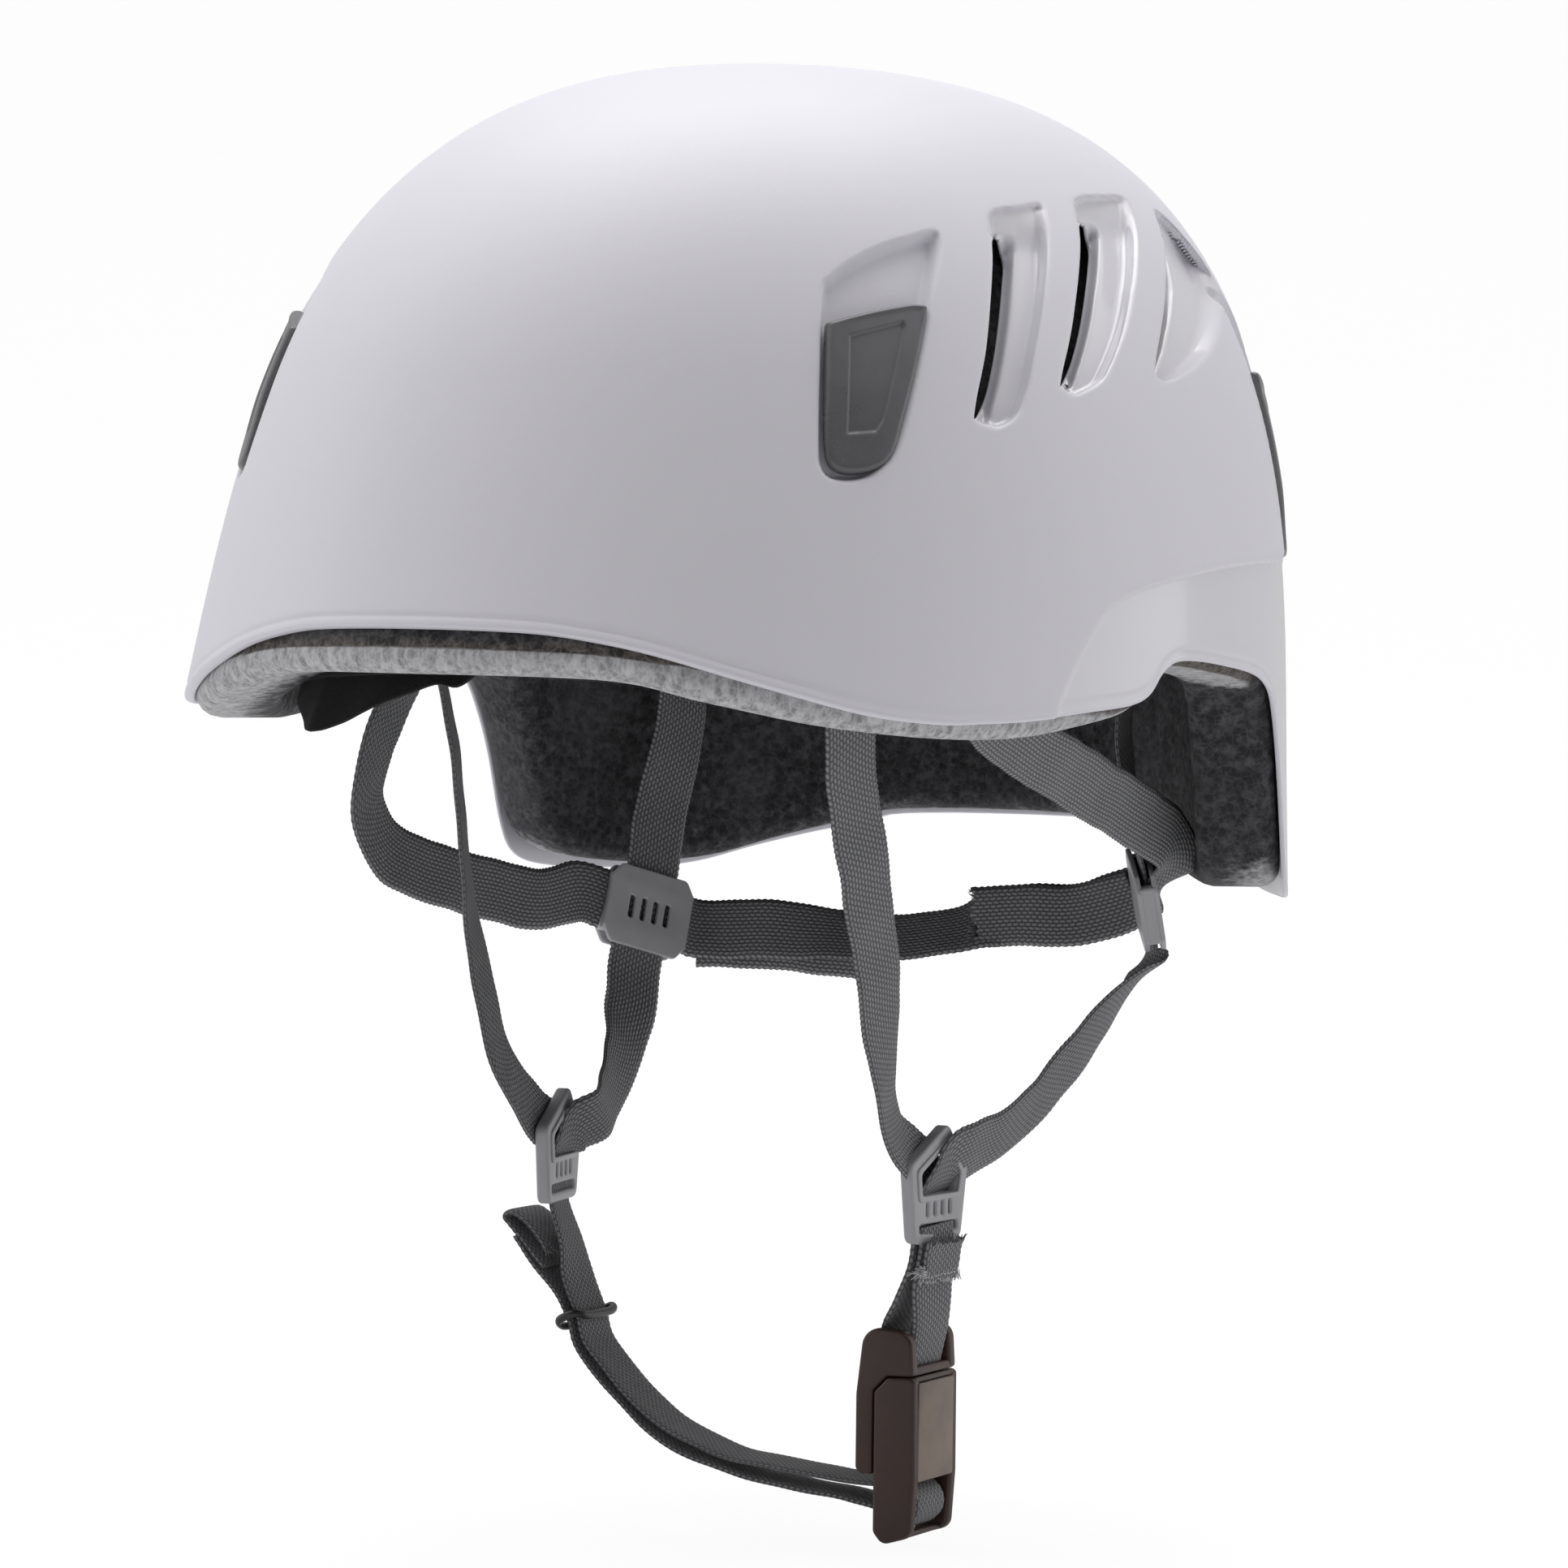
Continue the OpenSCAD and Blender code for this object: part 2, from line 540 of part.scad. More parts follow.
// Short webbing loop from the left divider to the buckle's rear half
module chin_tab() {
    color(WEB_GREY)
        union() {
            webbing(TAB_FRONT, 3, web_t + 0.4);
            webbing(TAB_REAR, 3, web_t + 0.4);
        }
}

// Block with chamfered side edges, spanning x0 to x1 and z0 to z1 about the buckle's middle
module buckle_block(x0, x1, z0, z1, chamfer) {
    w = buckle_w / 2;
    translate([0, buckle_y, z0])
        linear_extrude(z1 - z0)
            polygon([[x0, -w], [x1 - chamfer, -w], [x1, -w + chamfer], [x1, w - chamfer],
                     [x1 - chamfer, w], [x0, w]]);
}

// Rear half: a flat tongue, and a step at the top with the upper webbing bar. The step's
// underside is an arc about the swing line, so the halves slide past each other
module buckle_rear_half() {
    x1 = buckle_split;
    x0 = x1 - buckle_rear_t;
    slot_w = web_w + 1.2;
    color(BUCKLE_BROWN)
        difference() {
            union() {
                buckle_block(x0, x1, -169, buckle_top, 0.4);
                intersection() {
                    buckle_block(x0 + 0.6, x1 + 6, -150, buckle_top, 1.5);
                    translate([0, swing_y, swing_z])
                        rotate([0, 90, 0])
                            cylinder(h = 100, r = step_reach, $fn = 180);
                }
            }
            translate([x0 - 1, buckle_y - slot_w / 2, -142.6])
                cube([14, slot_w, 2.8]);
            translate([x1 - 2.5, buckle_y, magnet_z])
                rotate([0, 90, 0])
                    cylinder(h = 3, d = magnet_d + 0.1, $fn = 48);
        }
}

module rear_half_magnet() {
    color(METAL)
        translate([buckle_split - 2.45, buckle_y, magnet_z])
            rotate([0, 90, 0])
                cylinder(h = 2.3, d = magnet_d, $fn = 48);
}

// Front half: the deeper body, with a window and bar for the chin strap and a plate seat
module buckle_front_half() {
    x0 = buckle_split + gap;
    x1 = x0 + buckle_front_t;
    slot_w = web_w + 1.6;
    color(BUCKLE_BROWN)
        union() {
            difference() {
                buckle_block(x0, x1, buckle_low, -146.3, 2.2);
                translate([x0 - 1, buckle_y - slot_w / 2, window_low])
                    cube([20, slot_w, window_top - window_low]);
                translate([x0 - 0.5, buckle_y, magnet_z])
                    rotate([0, 90, 0])
                        cylinder(h = 3, d = magnet_d + 0.1, $fn = 48);
                translate([x1 - 1.2, buckle_y - plate_w / 2 - 0.1, plate_low - 0.1])
                    cube([2, plate_w + 0.2, plate_h + 0.2]);
            }
            translate([bar_x, buckle_y - slot_w / 2 - 0.5, bar_z])
                rotate([-90, 0, 0])
                    cylinder(h = slot_w + 1, d = bar_d, $fn = 32);
        }
}

module front_half_magnet() {
    color(METAL)
        translate([buckle_split + gap + 0.1, buckle_y, magnet_z])
            rotate([0, 90, 0])
                cylinder(h = 2.3, d = magnet_d, $fn = 48);
}

module buckle_face_plate() {
    x1 = buckle_split + gap + buckle_front_t;
    color(PLATE_TAUPE)
        translate([x1 - 1.15, buckle_y - plate_w / 2, plate_low])
            cube([1.3, plate_w, plate_h]);
}

// Adjustable strap from the buckle's front half to the right divider, folded double
module chin_strap() {
    color(WEB_GREY) webbing(CHIN);
}

// Rubber ring that holds the strap's two layers together
module keeper_ring() {
    wire = 1.8;
    inner_w = web_w + 2.2;
    inner_t = layer_gap + web_t + 1.4;
    color(PAD_BLACK)
        translate(RING)
            rotate([0, ring_lean, 0])
                linear_extrude(wire, center = true)
                    difference() {
                        square([inner_t + 2 * wire, inner_w + 2 * wire], center = true);
                        square([inner_t, inner_w], center = true);
                    }
}

module left_headband_strap() { color(WEB_GREY) webbing(LEFT_BAND); }
module right_headband_strap() { color(WEB_GREY) webbing(RIGHT_BAND); }
module nape_strap() { color(WEB_GREY) webbing(NAPE); }

// Slider on a rear strap: a channel for the strap with relief slots in its outer face
module nape_slider() {
    channel = [3.6, 17, slider_size[2] + 2];
    difference() {
        cube(slider_size, center = true);
        cube(channel, center = true);
        for (k = [-1.5:1:1.5])
            translate([slider_size[0] / 2, k * 3.4, 0])
                cube([slider_size[0], 1.3, 6], center = true);
    }
}

module left_nape_slider() {
    color(HARDWARE_GREY)
        translate(LEFT_SLIDER)
            rotate([left_lean, 0, 0])
                rotate([0, 0, slider_turn])
                    nape_slider();
}

module right_nape_slider() {
    color(HARDWARE_GREY)
        translate(RIGHT_SLIDER)
            rotate([right_lean, 0, 0])
                rotate([0, 0, 180 - slider_turn])
                    nape_slider();
}

outer_shell();
foam_liner();
front_left_clip();
front_right_clip();
rear_left_clip();
rear_right_clip();
brow_pad();
crown_pads();
hook_patches();
strap_anchors();
left_front_strap();
left_rear_strap();
right_front_strap();
right_rear_strap();
left_divider();
right_divider();
chin_tab();
buckle_rear_half();
rear_half_magnet();
buckle_front_half();
front_half_magnet();
buckle_face_plate();
chin_strap();
keeper_ring();
left_headband_strap();
right_headband_strap();
nape_strap();
left_nape_slider();
right_nape_slider();
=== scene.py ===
"""Looks of the climbing helmet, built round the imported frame, in millimetres until a mesh is made."""

import math

import bmesh
import bpy
import numpy as np
from mathutils import Matrix, Vector


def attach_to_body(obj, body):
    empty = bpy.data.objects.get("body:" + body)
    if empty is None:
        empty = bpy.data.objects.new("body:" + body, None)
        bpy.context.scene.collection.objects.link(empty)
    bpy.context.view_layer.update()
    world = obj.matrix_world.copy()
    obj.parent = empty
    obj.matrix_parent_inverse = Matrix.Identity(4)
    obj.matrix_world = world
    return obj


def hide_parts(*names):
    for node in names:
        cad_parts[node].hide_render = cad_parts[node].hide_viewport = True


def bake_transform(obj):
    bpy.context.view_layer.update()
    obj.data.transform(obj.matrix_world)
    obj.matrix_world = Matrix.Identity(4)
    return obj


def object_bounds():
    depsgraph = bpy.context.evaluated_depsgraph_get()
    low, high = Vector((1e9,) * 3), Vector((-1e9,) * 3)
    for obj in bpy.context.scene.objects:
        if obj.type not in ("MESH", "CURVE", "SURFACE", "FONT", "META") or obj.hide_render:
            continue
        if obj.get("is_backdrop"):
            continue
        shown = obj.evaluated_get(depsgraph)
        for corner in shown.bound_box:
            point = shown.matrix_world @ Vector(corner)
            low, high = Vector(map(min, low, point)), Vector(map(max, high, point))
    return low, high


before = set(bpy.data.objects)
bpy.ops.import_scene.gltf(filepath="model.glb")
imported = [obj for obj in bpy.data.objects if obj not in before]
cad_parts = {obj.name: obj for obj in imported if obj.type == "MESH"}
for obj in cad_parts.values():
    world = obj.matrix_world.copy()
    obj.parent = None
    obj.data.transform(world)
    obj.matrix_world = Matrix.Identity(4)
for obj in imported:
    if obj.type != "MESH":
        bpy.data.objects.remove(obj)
CAD_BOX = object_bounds()
MM = 0.001

# ---------------------------------------------------------------- dome
HALF_W, FRONT, REAR, CROWN = 113.4, 148.8, 148.7, 155.0
# The crown lies this far behind the middle of the head opening
CROWN_Y = 10.6
WALL, LINER_INSET, LINER_T = 2.4, 2.6, 19.0


def around(c, front, side, rear):
    """Value that goes from front over side to rear with c, the cosine of the angle from the front."""
    return side + (front - side) * np.maximum(c, 0) ** 2 + (rear - side) * np.maximum(-c, 0) ** 2


def dome(a, z, inset=0.0):
    """Points of the smooth helmet at angle a (0 front, 90 left) and height z, moved in by inset."""
    a, z = np.broadcast_arrays(np.asarray(a, float), np.asarray(z, float))
    c, s = np.cos(np.radians(a)), np.sin(np.radians(a))
    t = np.clip(z / (CROWN - inset), 0, 1)
    rho = np.maximum(0, 1 - t ** around(c, 2.445, 2.461, 3.249)) ** (1 / 2.666)
    flare = around(c, 15.1, 1.8, -1.75) * np.maximum(0, 1 - z / 80) ** 2
    r = (np.abs(c) ** 2.095 + np.abs(s) ** 2.095) ** (-1 / 2.095)
    reach = np.where(c > 0, FRONT, REAR) - inset
    x = ((HALF_W - inset) * rho + flare) * s * r
    y = -(reach * rho + flare) * c * r + CROWN_Y * t * t
    return np.stack([x, y, z + 0 * x], -1)


def unit(v):
    return v / np.maximum(np.linalg.norm(v, axis=-1, keepdims=True), 1e-12)


def dome_normal(a, z, inset=0.0):
    zc = np.minimum(z, CROWN - inset - 0.06)
    da = dome(a + 0.25, zc, inset) - dome(a - 0.25, zc, inset)
    dz = dome(a, zc + 0.05, inset) - dome(a, zc - 0.05, inset)
    return unit(np.cross(da, dz))


def smooth(x, lo=0.0, hi=1.0):
    t = np.clip((x - lo) / (hi - lo), 0, 1)
    return t * t * (3 - 2 * t)


def curve(points, steps):
    """Catmull-Rom curve through the points, end points included."""
    p = np.asarray(points, float)
    p = np.vstack([p[:1], p, p[-1:]])
    out = []
    for i in range(1, len(p) - 2):
        a, b, c, d = p[i - 1 : i + 3]
        for k in range(steps):
            t = k / steps
            out.append(0.5 * (2 * b + (c - a) * t + (2 * a - 5 * b + 4 * c - d) * t * t
                              + (3 * b - a - 3 * c + d) * t ** 3))
    out.append(p[-2])
    return np.array(out)


def closed_curve(points, steps):
    p = [np.asarray(q, float) for q in points]
    n = len(p)
    out = []
    for i in range(n):
        a, b, c, d = p[i - 1], p[i], p[(i + 1) % n], p[(i + 2) % n]
        for k in range(steps):
            t = k / steps
            out.append(0.5 * (2 * b + (c - a) * t + (2 * a - 5 * b + 4 * c - d) * t * t
                              + (3 * b - a - 3 * c + d) * t ** 3))
    return np.array(out)


# Millimetres per degree of front angle, at the level of the vents
DEG_MM = 1.9


def signed_distance(a, z, outline):
    """Distance from an outline of [angle, height], in millimetres, negative inside."""
    poly = np.asarray(outline, float) * [DEG_MM, 1]
    x, y = np.ravel(a) * DEG_MM, np.ravel(z)
    best = np.full(x.shape, 1e9)
    inside = np.zeros(x.shape, bool)
    for (x0, y0), (x1, y1) in zip(poly, np.roll(poly, -1, 0)):
        dx, dy = x1 - x0, y1 - y0
        t = np.clip(((x - x0) * dx + (y - y0) * dy) / max(dx * dx + dy * dy, 1e-9), 0, 1)
        best = np.minimum(best, np.hypot(x - x0 - t * dx, y - y0 - t * dy))
        cross = (y0 > y) != (y1 > y)
        inside ^= cross & (x < x0 + (y - y0) * dx / (dy if dy else 1e-9))
    return np.where(inside, -best, best).reshape(np.shape(a))


SHELL_RIM = [[-220, 26], [-175, 26], [-155, 25], [-146.5, 22.3], [-132, 15], [-114, 8.7], [-98, 6.4],
             [-86, 6.4], [-72, 6.9], [-55, 8.4], [-38, 9.8], [-30, 12], [-24, 16.6], [-17, 19.2],
             [-6, 19.4], [10, 18.2], [27, 16.5], [38, 14.2], [45, 10.5], [50, 2.5],
             [54.6, -9], [59.5, -26], [64, -33.5], [73, -36.5], [90, -37.5], [108, -36.5],
             [122, -31.5], [136, -26], [148, -22.5], [220, -21]]
FOAM_RIM = [[-220, 16], [-175, 16], [-150, 15.5], [-138, 11], [-122, 6.6], [-104, 4.2], [-86, 3.2],
            [-70, 3.6], [-54, 5.4], [-38, 7.8], [-30, 11], [-24, 16], [-17, 18.4], [-6, 18.6],
            [10, 17.4], [27, 15.7], [38, 13.4], [46, 9.6], [51.5, 2], [56, -9],
            [61, -24.5], [66, -30.5], [75, -33.5], [90, -34.8], [108, -33.5], [122, -29],
            [136, -23.8], [148, -20.4], [220, -19]]


def rim_height(a, rim):
    """Height of a rim, given as [y, z], where the dome meets it at each angle."""
    edge = curve(rim, 8)
    z = np.zeros(np.shape(a))
    for _ in range(60):
        y = dome(a, z)[..., 1]
        z = 0.5 * z + 0.5 * np.interp(y, edge[:, 0], edge[:, 1])
    return z


# Vents: outline as [angle, height], front edge and rear edge as [height, angle], and shares of the
# width at which the slot, the fold and the floor end
VENTS = [
    dict(outline=[[63.5, 117.4], [68.6, 119.2], [73.9, 120.3], [72.3, 113], [68.9, 99.7],
                  [65.8, 86.7], [64.1, 78.2], [62.6, 72.7], [60.3, 69.8], [58.9, 69.6],
                  [57.1, 70.8], [56.6, 73.5], [58.6, 86], [60.3, 98.8], [62.3, 111.8]],
         front=[[68, 56.4], [73.5, 56.6], [86, 58.6], [98.8, 60.3], [111.8, 62.3], [119, 63.8]],
         rear=[[68, 61.4], [72.7, 62.6], [78.2, 64.1], [86.7, 65.8], [99.7, 68.9], [113, 72.3],
               [121, 74.1]],
         shares=(0.27, 0.44, 0.74), slot_z=(71.2, 111.8), depth=4.4, tilt=1.0),
    dict(outline=[[81.3, 122.6], [89, 124.3], [97.3, 124.9], [95.7, 120.3], [90.1, 110.9],
                  [85.1, 101.5], [81, 92.5], [77.7, 85.8], [75.4, 81.3], [71.5, 78], [69.8, 77.4],
                  [68.3, 79.4], [68.3, 81.9], [70.8, 91.4], [73.1, 100.1], [76, 109.1],
                  [79.2, 118.2]],
         front=[[76, 67.4], [81.9, 68.3], [91.4, 70.8], [100.1, 73.1], [109.1, 76],
                [118.2, 79.2], [124, 81.9]],
         rear=[[76, 71.4], [81.3, 75.4], [85.8, 77.7], [92.5, 81], [101.5, 85.1], [110.9, 90.1],
               [120.3, 95.7], [126, 98.6]],
         shares=(0.23, 0.38, 0.68), slot_z=(78.8, 117), depth=4.4, tilt=1.0),
    dict(outline=[[106, 123.2], [111.5, 119], [118, 105.4], [109.3, 97.7], [101, 90.2],
                  [94.4, 85.7], [88, 82.3], [85.2, 82.2], [84.5, 86], [87.8, 94.1],
                  [92.9, 104.2], [97, 110.8], [101.2, 117]],
         front=[[80, 83.2], [86, 84.5], [94.1, 87.8], [104.2, 92.9], [110.8, 97], [117, 101.2],
                [125, 107]],
         rear=[[80, 86], [82.3, 88], [85.7, 94.4], [90.2, 101], [97.7, 109.3], [105.4, 118],
               [125, 121]],
         shares=(0.17, 0.28, 0.62), slot_z=(83.8, 116), depth=4.2, tilt=0.75),
]
FRONT_POCKET = [[55.2, 111.4], [50.5, 110.3], [46.7, 107.9], [43.1, 104.2], [41.1, 101],
                [40.1, 97.6], [39.9, 79.4], [39.9, 65.2], [40.1, 60.4], [41.1, 57.6], [43, 56.9],
                [45, 57.6], [46.6, 59.7], [48, 62.8], [49.1, 68.6], [51, 82.2], [52.9, 95.7]]
CLIP_LOW = 58.9
FRONT_CLIP = [[40.7, 89.6], [40.9, 90.6], [41.5, 91.2], [45.3, 93.3], [49.7, 95.2], [51.6, 95.3],
              [52.1, 94.9], [52.2, 94], [50.6, 82.2], [48.9, 70.6], [47.8, 63.6], [46.1, 60.1],
              [43.4, CLIP_LOW], [41.5, 60.2], [40.8, 65], [40.7, 78]]
REAR_SHIFT, REAR_LOW, REAR_STRETCH = 168.0, 43.6, 1.19


def to_rear(outline):
    """The rear clip and pocket are the front ones turned about the helmet's side."""
    return [[REAR_SHIFT - a, REAR_LOW + (z - CLIP_LOW) * REAR_STRETCH] for a, z in outline]


PANEL_LINE = [[63.9, -12], [64.3, 2], [64.8, 8.2], [66.3, 15.6], [69.5, 25.5], [71.9, 31], [75.1, 34.6],
              [80.8, 37.7], [88.5, 40.3], [98.2, 42.4], [110.3, 43.5], [140, 44.4], [180, 44.6],
              [200, 44.6], [200, -60], [63.5, -60]]
# From the helmet to the camera
VIEW_BACK = np.array([0.4725, -0.8806, 0.0342])


def vent_share(a, z, vent):
    front = np.interp(z, *np.array(vent["front"]).T)
    rear = np.interp(z, *np.array(vent["rear"]).T)
    return (a - front) / np.maximum(rear - front, 1)


def vent_depth(a, z, vent):
    """Depth of a vent: a bank beside the slot, a floor, and a wall that rises to the rear edge."""
    t = vent_share(a, z, vent)
    slot, fold, floor = vent["shares"]
    d = vent["depth"]
    low, high = vent["slot_z"]
    beside = smooth(z, low - 0.5, low + 0.5) * (1 - smooth(z, high - 0.5, high + 0.5))
    bank = smooth(z, low - 2.5, low + 2) * (1 - smooth(z, high - 3, high + 1.5))
    profile = np.interp(t, [fold, floor], [d, d * 0.86])
    profile += bank * np.interp(t, [slot, fold - 0.04, fold + 0.02], [2.8, 0.3, 0])
    wall = 1 - smooth(t, floor, 1.0)
    inside = -signed_distance(a, z, closed_curve(vent["outline"], 5))
    shallow = 1 - 0.6 * smooth(z, high - 3, high + 7)
    open_front = 1 - beside * (1 - smooth(t, 0.3 * slot, 0.9 * slot))
    return profile * wall * shallow * open_front * smooth(inside, 0, 1.1)


def slot_outline(vent):
    """The open slot along a vent's front edge."""
    z0, z1 = vent["slot_z"]
    z = np.linspace(z0, z1, 9)
    front = np.interp(z, *np.array(vent["front"]).T)
    rear = np.interp(z, *np.array(vent["rear"]).T)
    left = front + 0.012 * (rear - front) + 0.1
    right = front + (rear - front) * vent["shares"][0]
    ends = 1 - 0.55 * (np.abs(2 * (z - z0) / (z1 - z0) - 1) ** 10)
    right = left + (right - left) * ends
    return np.vstack([np.stack([left, z], -1), np.stack([right, z], -1)[::-1]])


def deepest(b, z, outlines, depth, from_edge):
    """Depth of liner hollows that open out before the outlines they belong to."""
    drop = np.zeros(b.shape)
    for outline in outlines:
        inside = -signed_distance(b, z, closed_curve(outline, 3))
        drop = np.maximum(drop, depth * smooth(inside, from_edge, -1.5))
    return drop


POCKETS = (FRONT_POCKET, to_rear(FRONT_POCKET))
POCKET_DEPTH, PANEL_STEP = 3.2, 0.75
VENT_ROOM, POCKET_ROOM = 11.5, 4.6


def hollow(a, z, liner=False):
    """Displacement of the outer surface by vents, pockets and the panel, as vectors."""
    side = np.where(a < 0, -1.0, 1.0)
    b = np.abs(a)
    n = dome_normal(a, z)
    move = np.zeros(n.shape)
    near = (b > 34) & (b < 132) & (z > 38) & (z < 130)
    bn, zn, nn = b[near], z[near], n[near]
    if liner:
        drop = np.maximum(deepest(bn, zn, [v["outline"] for v in VENTS], VENT_ROOM, -6),
                          deepest(bn, zn, POCKETS, POCKET_ROOM, -5))
        move[near] = -drop[:, None] * nn
        return move
    mirror = np.stack([side, 0 * side + 1, 0 * side + 1], -1)[near]
    straight = dome_normal(bn, zn)
    for vent in VENTS:
        view = unit(VIEW_BACK * vent["tilt"] + straight * (1 - vent["tilt"]) * 1.6)
        cos = np.maximum((view * straight).sum(-1), 0.3)
        move[near] -= (vent_depth(bn, zn, vent) / cos)[:, None] * view * mirror
    for outline in POCKETS:
        inside = -signed_distance(bn, zn, closed_curve(outline, 5))
        move[near] -= (POCKET_DEPTH * smooth(inside, 0.0, 1.7))[:, None] * nn
    low = z < 60
    panel = -signed_distance(b[low], z[low], closed_curve(PANEL_LINE, 3))
    move[low] -= (PANEL_STEP * smooth(panel, -0.1, 1.0))[:, None] * n[low]
    return move


def surface_angles(fine, coarse):
    """Angles all round, fine at the sides where the vents and pockets are."""
    half = np.concatenate([np.arange(0, 36, coarse), np.arange(36, 128, fine),
                           np.arange(128, 180 - coarse / 2, coarse), [180.0]])
    return np.concatenate([-half[1:-1][::-1], half])


# Rows of points follow the rim below VENT_LOW, are level up to VENT_HIGH and close in on the crown above
VENT_LOW, VENT_HIGH = 45, 128


def surface_levels(fine, top_rows):
    mid = np.arange(VENT_LOW, VENT_HIGH, fine)
    low_turn = math.asin((VENT_HIGH / CROWN) ** 1.25)
    turn = np.linspace(low_turn, math.pi / 2, top_rows + 1)
    return mid, CROWN * np.sin(turn[:-1]) ** 0.8


def grid(rim, lift, fine_deg, coarse_deg, fine_z, low_rows, top_rows):
    """Angles and heights of a grid over the dome, with its bottom row lift above the rim."""
    a = surface_angles(fine_deg, coarse_deg)
    mid, top = surface_levels(fine_z, top_rows)
    rim_z = rim_height(a, rim) + lift
    share = (np.arange(low_rows) / low_rows)[:, None]
    low = rim_z[None, :] + share * (VENT_LOW - rim_z[None, :])
    z = np.vstack([low, np.repeat(np.concatenate([mid, top])[:, None], len(a), 1)])
    return np.repeat(a[None, :], len(z), 0), z


def snap(a, z, outlines, cell):
    """Moves grid points that are near an outline on to it. Returns the points and what is outside."""
    b, side = np.abs(a), np.where(a < 0, -1.0, 1.0)
    clear = np.full(a.shape, 1e3)
    for outline in outlines:
        o = closed_curve(outline, 4)
        box = (b > o[:, 0].min() - 2) & (b < o[:, 0].max() + 2)
        box &= (z > o[:, 1].min() - 3) & (z < o[:, 1].max() + 3)
        bb, zz = b[box], z[box]
        d = signed_distance(bb, zz, o)
        close = np.abs(d) < cell
        e = 0.05
        for _ in range(2):
            bc, zc = bb[close], zz[close]
            here = signed_distance(bc, zc, o)
            ea = e / DEG_MM
            ga = (signed_distance(bc + ea, zc, o) - signed_distance(bc - ea, zc, o)) / (2 * e)
            gz = (signed_distance(bc, zc + e, o) - signed_distance(bc, zc - e, o)) / (2 * e)
            bb[close] = bc - here * ga / DEG_MM
            zz[close] = zc - here * gz
        d = np.where(close, 0.0, d)
        b = b.copy()
        z = z.copy()
        b[box], z[box] = bb, zz
        clear[box] = np.minimum(clear[box], d)
    return b * side, z, clear


def add_mesh(name, verts, faces, mat, uv=None, marks=None):
    """Smooth-shaded mesh from millimetres. Marks are values at the points that the material reads."""
    mesh = bpy.data.meshes.new(name)
    mesh.from_pydata((np.asarray(verts) * MM).tolist(), [], [list(map(int, f)) for f in faces])
    mesh.validate()
    obj = bpy.data.objects.new(name, mesh)
    bpy.context.scene.collection.objects.link(obj)
    mesh.materials.append(mat)
    mesh.polygons.foreach_set("use_smooth", [True] * len(mesh.polygons))
    if uv is not None:
        layer = mesh.uv_layers.new(name="weave")
        index = np.zeros(len(mesh.loops), int)
        mesh.loops.foreach_get("vertex_index", index)
        layer.data.foreach_set("uv", np.asarray(uv)[index].ravel())
    for key, values in (marks or {}).items():
        mesh.attributes.new(key, "FLOAT", "POINT").data.foreach_set("value", np.asarray(values, float))
    mesh.update()
    return obj


def attach(obj, body, node=None):
    """Lets obj ride a body and, where it stands for a CAD node, replace that node."""
    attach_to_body(obj, body)
    if node:
        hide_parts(node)
    return obj


def skin(outer, inner, poles, clear, lip):
    """Closed wall between two grids that wrap round, open at the bottom row and at the holes, with
    rounded lips. Returns the points, the faces and which of all the points are used."""
    rows, cols = outer.shape[:2]
    n = rows * cols
    index = np.arange(n).reshape(rows, cols)
    nxt = np.roll(index, -1, 1)
    corners = np.stack([clear[:-1], clear[1:], np.roll(clear, -1, 1)[:-1], np.roll(clear, -1, 1)[1:]])
    keep = (corners.min(0) > -1e-6) & (corners.max(0) > 1e-6)
    quads = np.stack([index[:-1], nxt[:-1], nxt[1:], index[1:]], -1)[keep]
    ring, after = index[-1], nxt[-1]
    fans = np.stack([ring, after, np.full(cols, 2 * n)], -1)
    faces = list(quads) + list(fans) + list(quads[:, ::-1] + n)
    faces += list(np.stack([after + n, ring + n, np.full(cols, 2 * n + 1)], -1))
    po, pi = outer.reshape(-1, 3), inner.reshape(-1, 3)
    starts, ends = quads.ravel(), np.roll(quads, -1, 1).ravel()
    known = np.concatenate([starts * n + ends, ring * n + after, after * n + ring])
    free = ~np.isin(ends * n + starts, known)
    ea, eb = starts[free], ends[free]
    wall = unit(po - pi)
    out = np.zeros(po.shape)
    away = np.cross(unit(po[eb] - po[ea]), wall[ea])
    np.add.at(out, ea, away)
    np.add.at(out, eb, away)
    edge = np.unique(np.concatenate([ea, eb]))
    e, w = unit(out[edge]), wall[edge]
    r = np.minimum(lip, 0.49 * np.linalg.norm(po[edge] - pi[edge], axis=1))[:, None]
    turns = [0.38, 0.75, 1.12, math.pi / 2]
    rings = [po[edge] + r * (math.sin(t) * e - (1 - math.cos(t)) * w) for t in turns]
    rings += [pi[edge] + r * (math.sin(t) * e + (1 - math.cos(t)) * w) for t in turns[::-1]]
    place = np.full(n, -1)
    place[edge] = np.arange(len(edge))
    bands = [2 * n + 2 + k * len(edge) for k in range(len(rings))]
    chain_a = [ea] + [b + place[ea] for b in bands] + [ea + n]
    chain_b = [eb] + [b + place[eb] for b in bands] + [eb + n]
    for k in range(len(chain_a) - 1):
        faces += list(np.stack([chain_b[k], chain_a[k], chain_a[k + 1], chain_b[k + 1]], -1))
    points = np.vstack([po, pi, poles] + rings)
    used = np.unique(np.concatenate([np.ravel(f) for f in faces]))
    new = np.full(len(points), -1)
    new[used] = np.arange(len(used))
    return points[used], [new[f] for f in faces], used


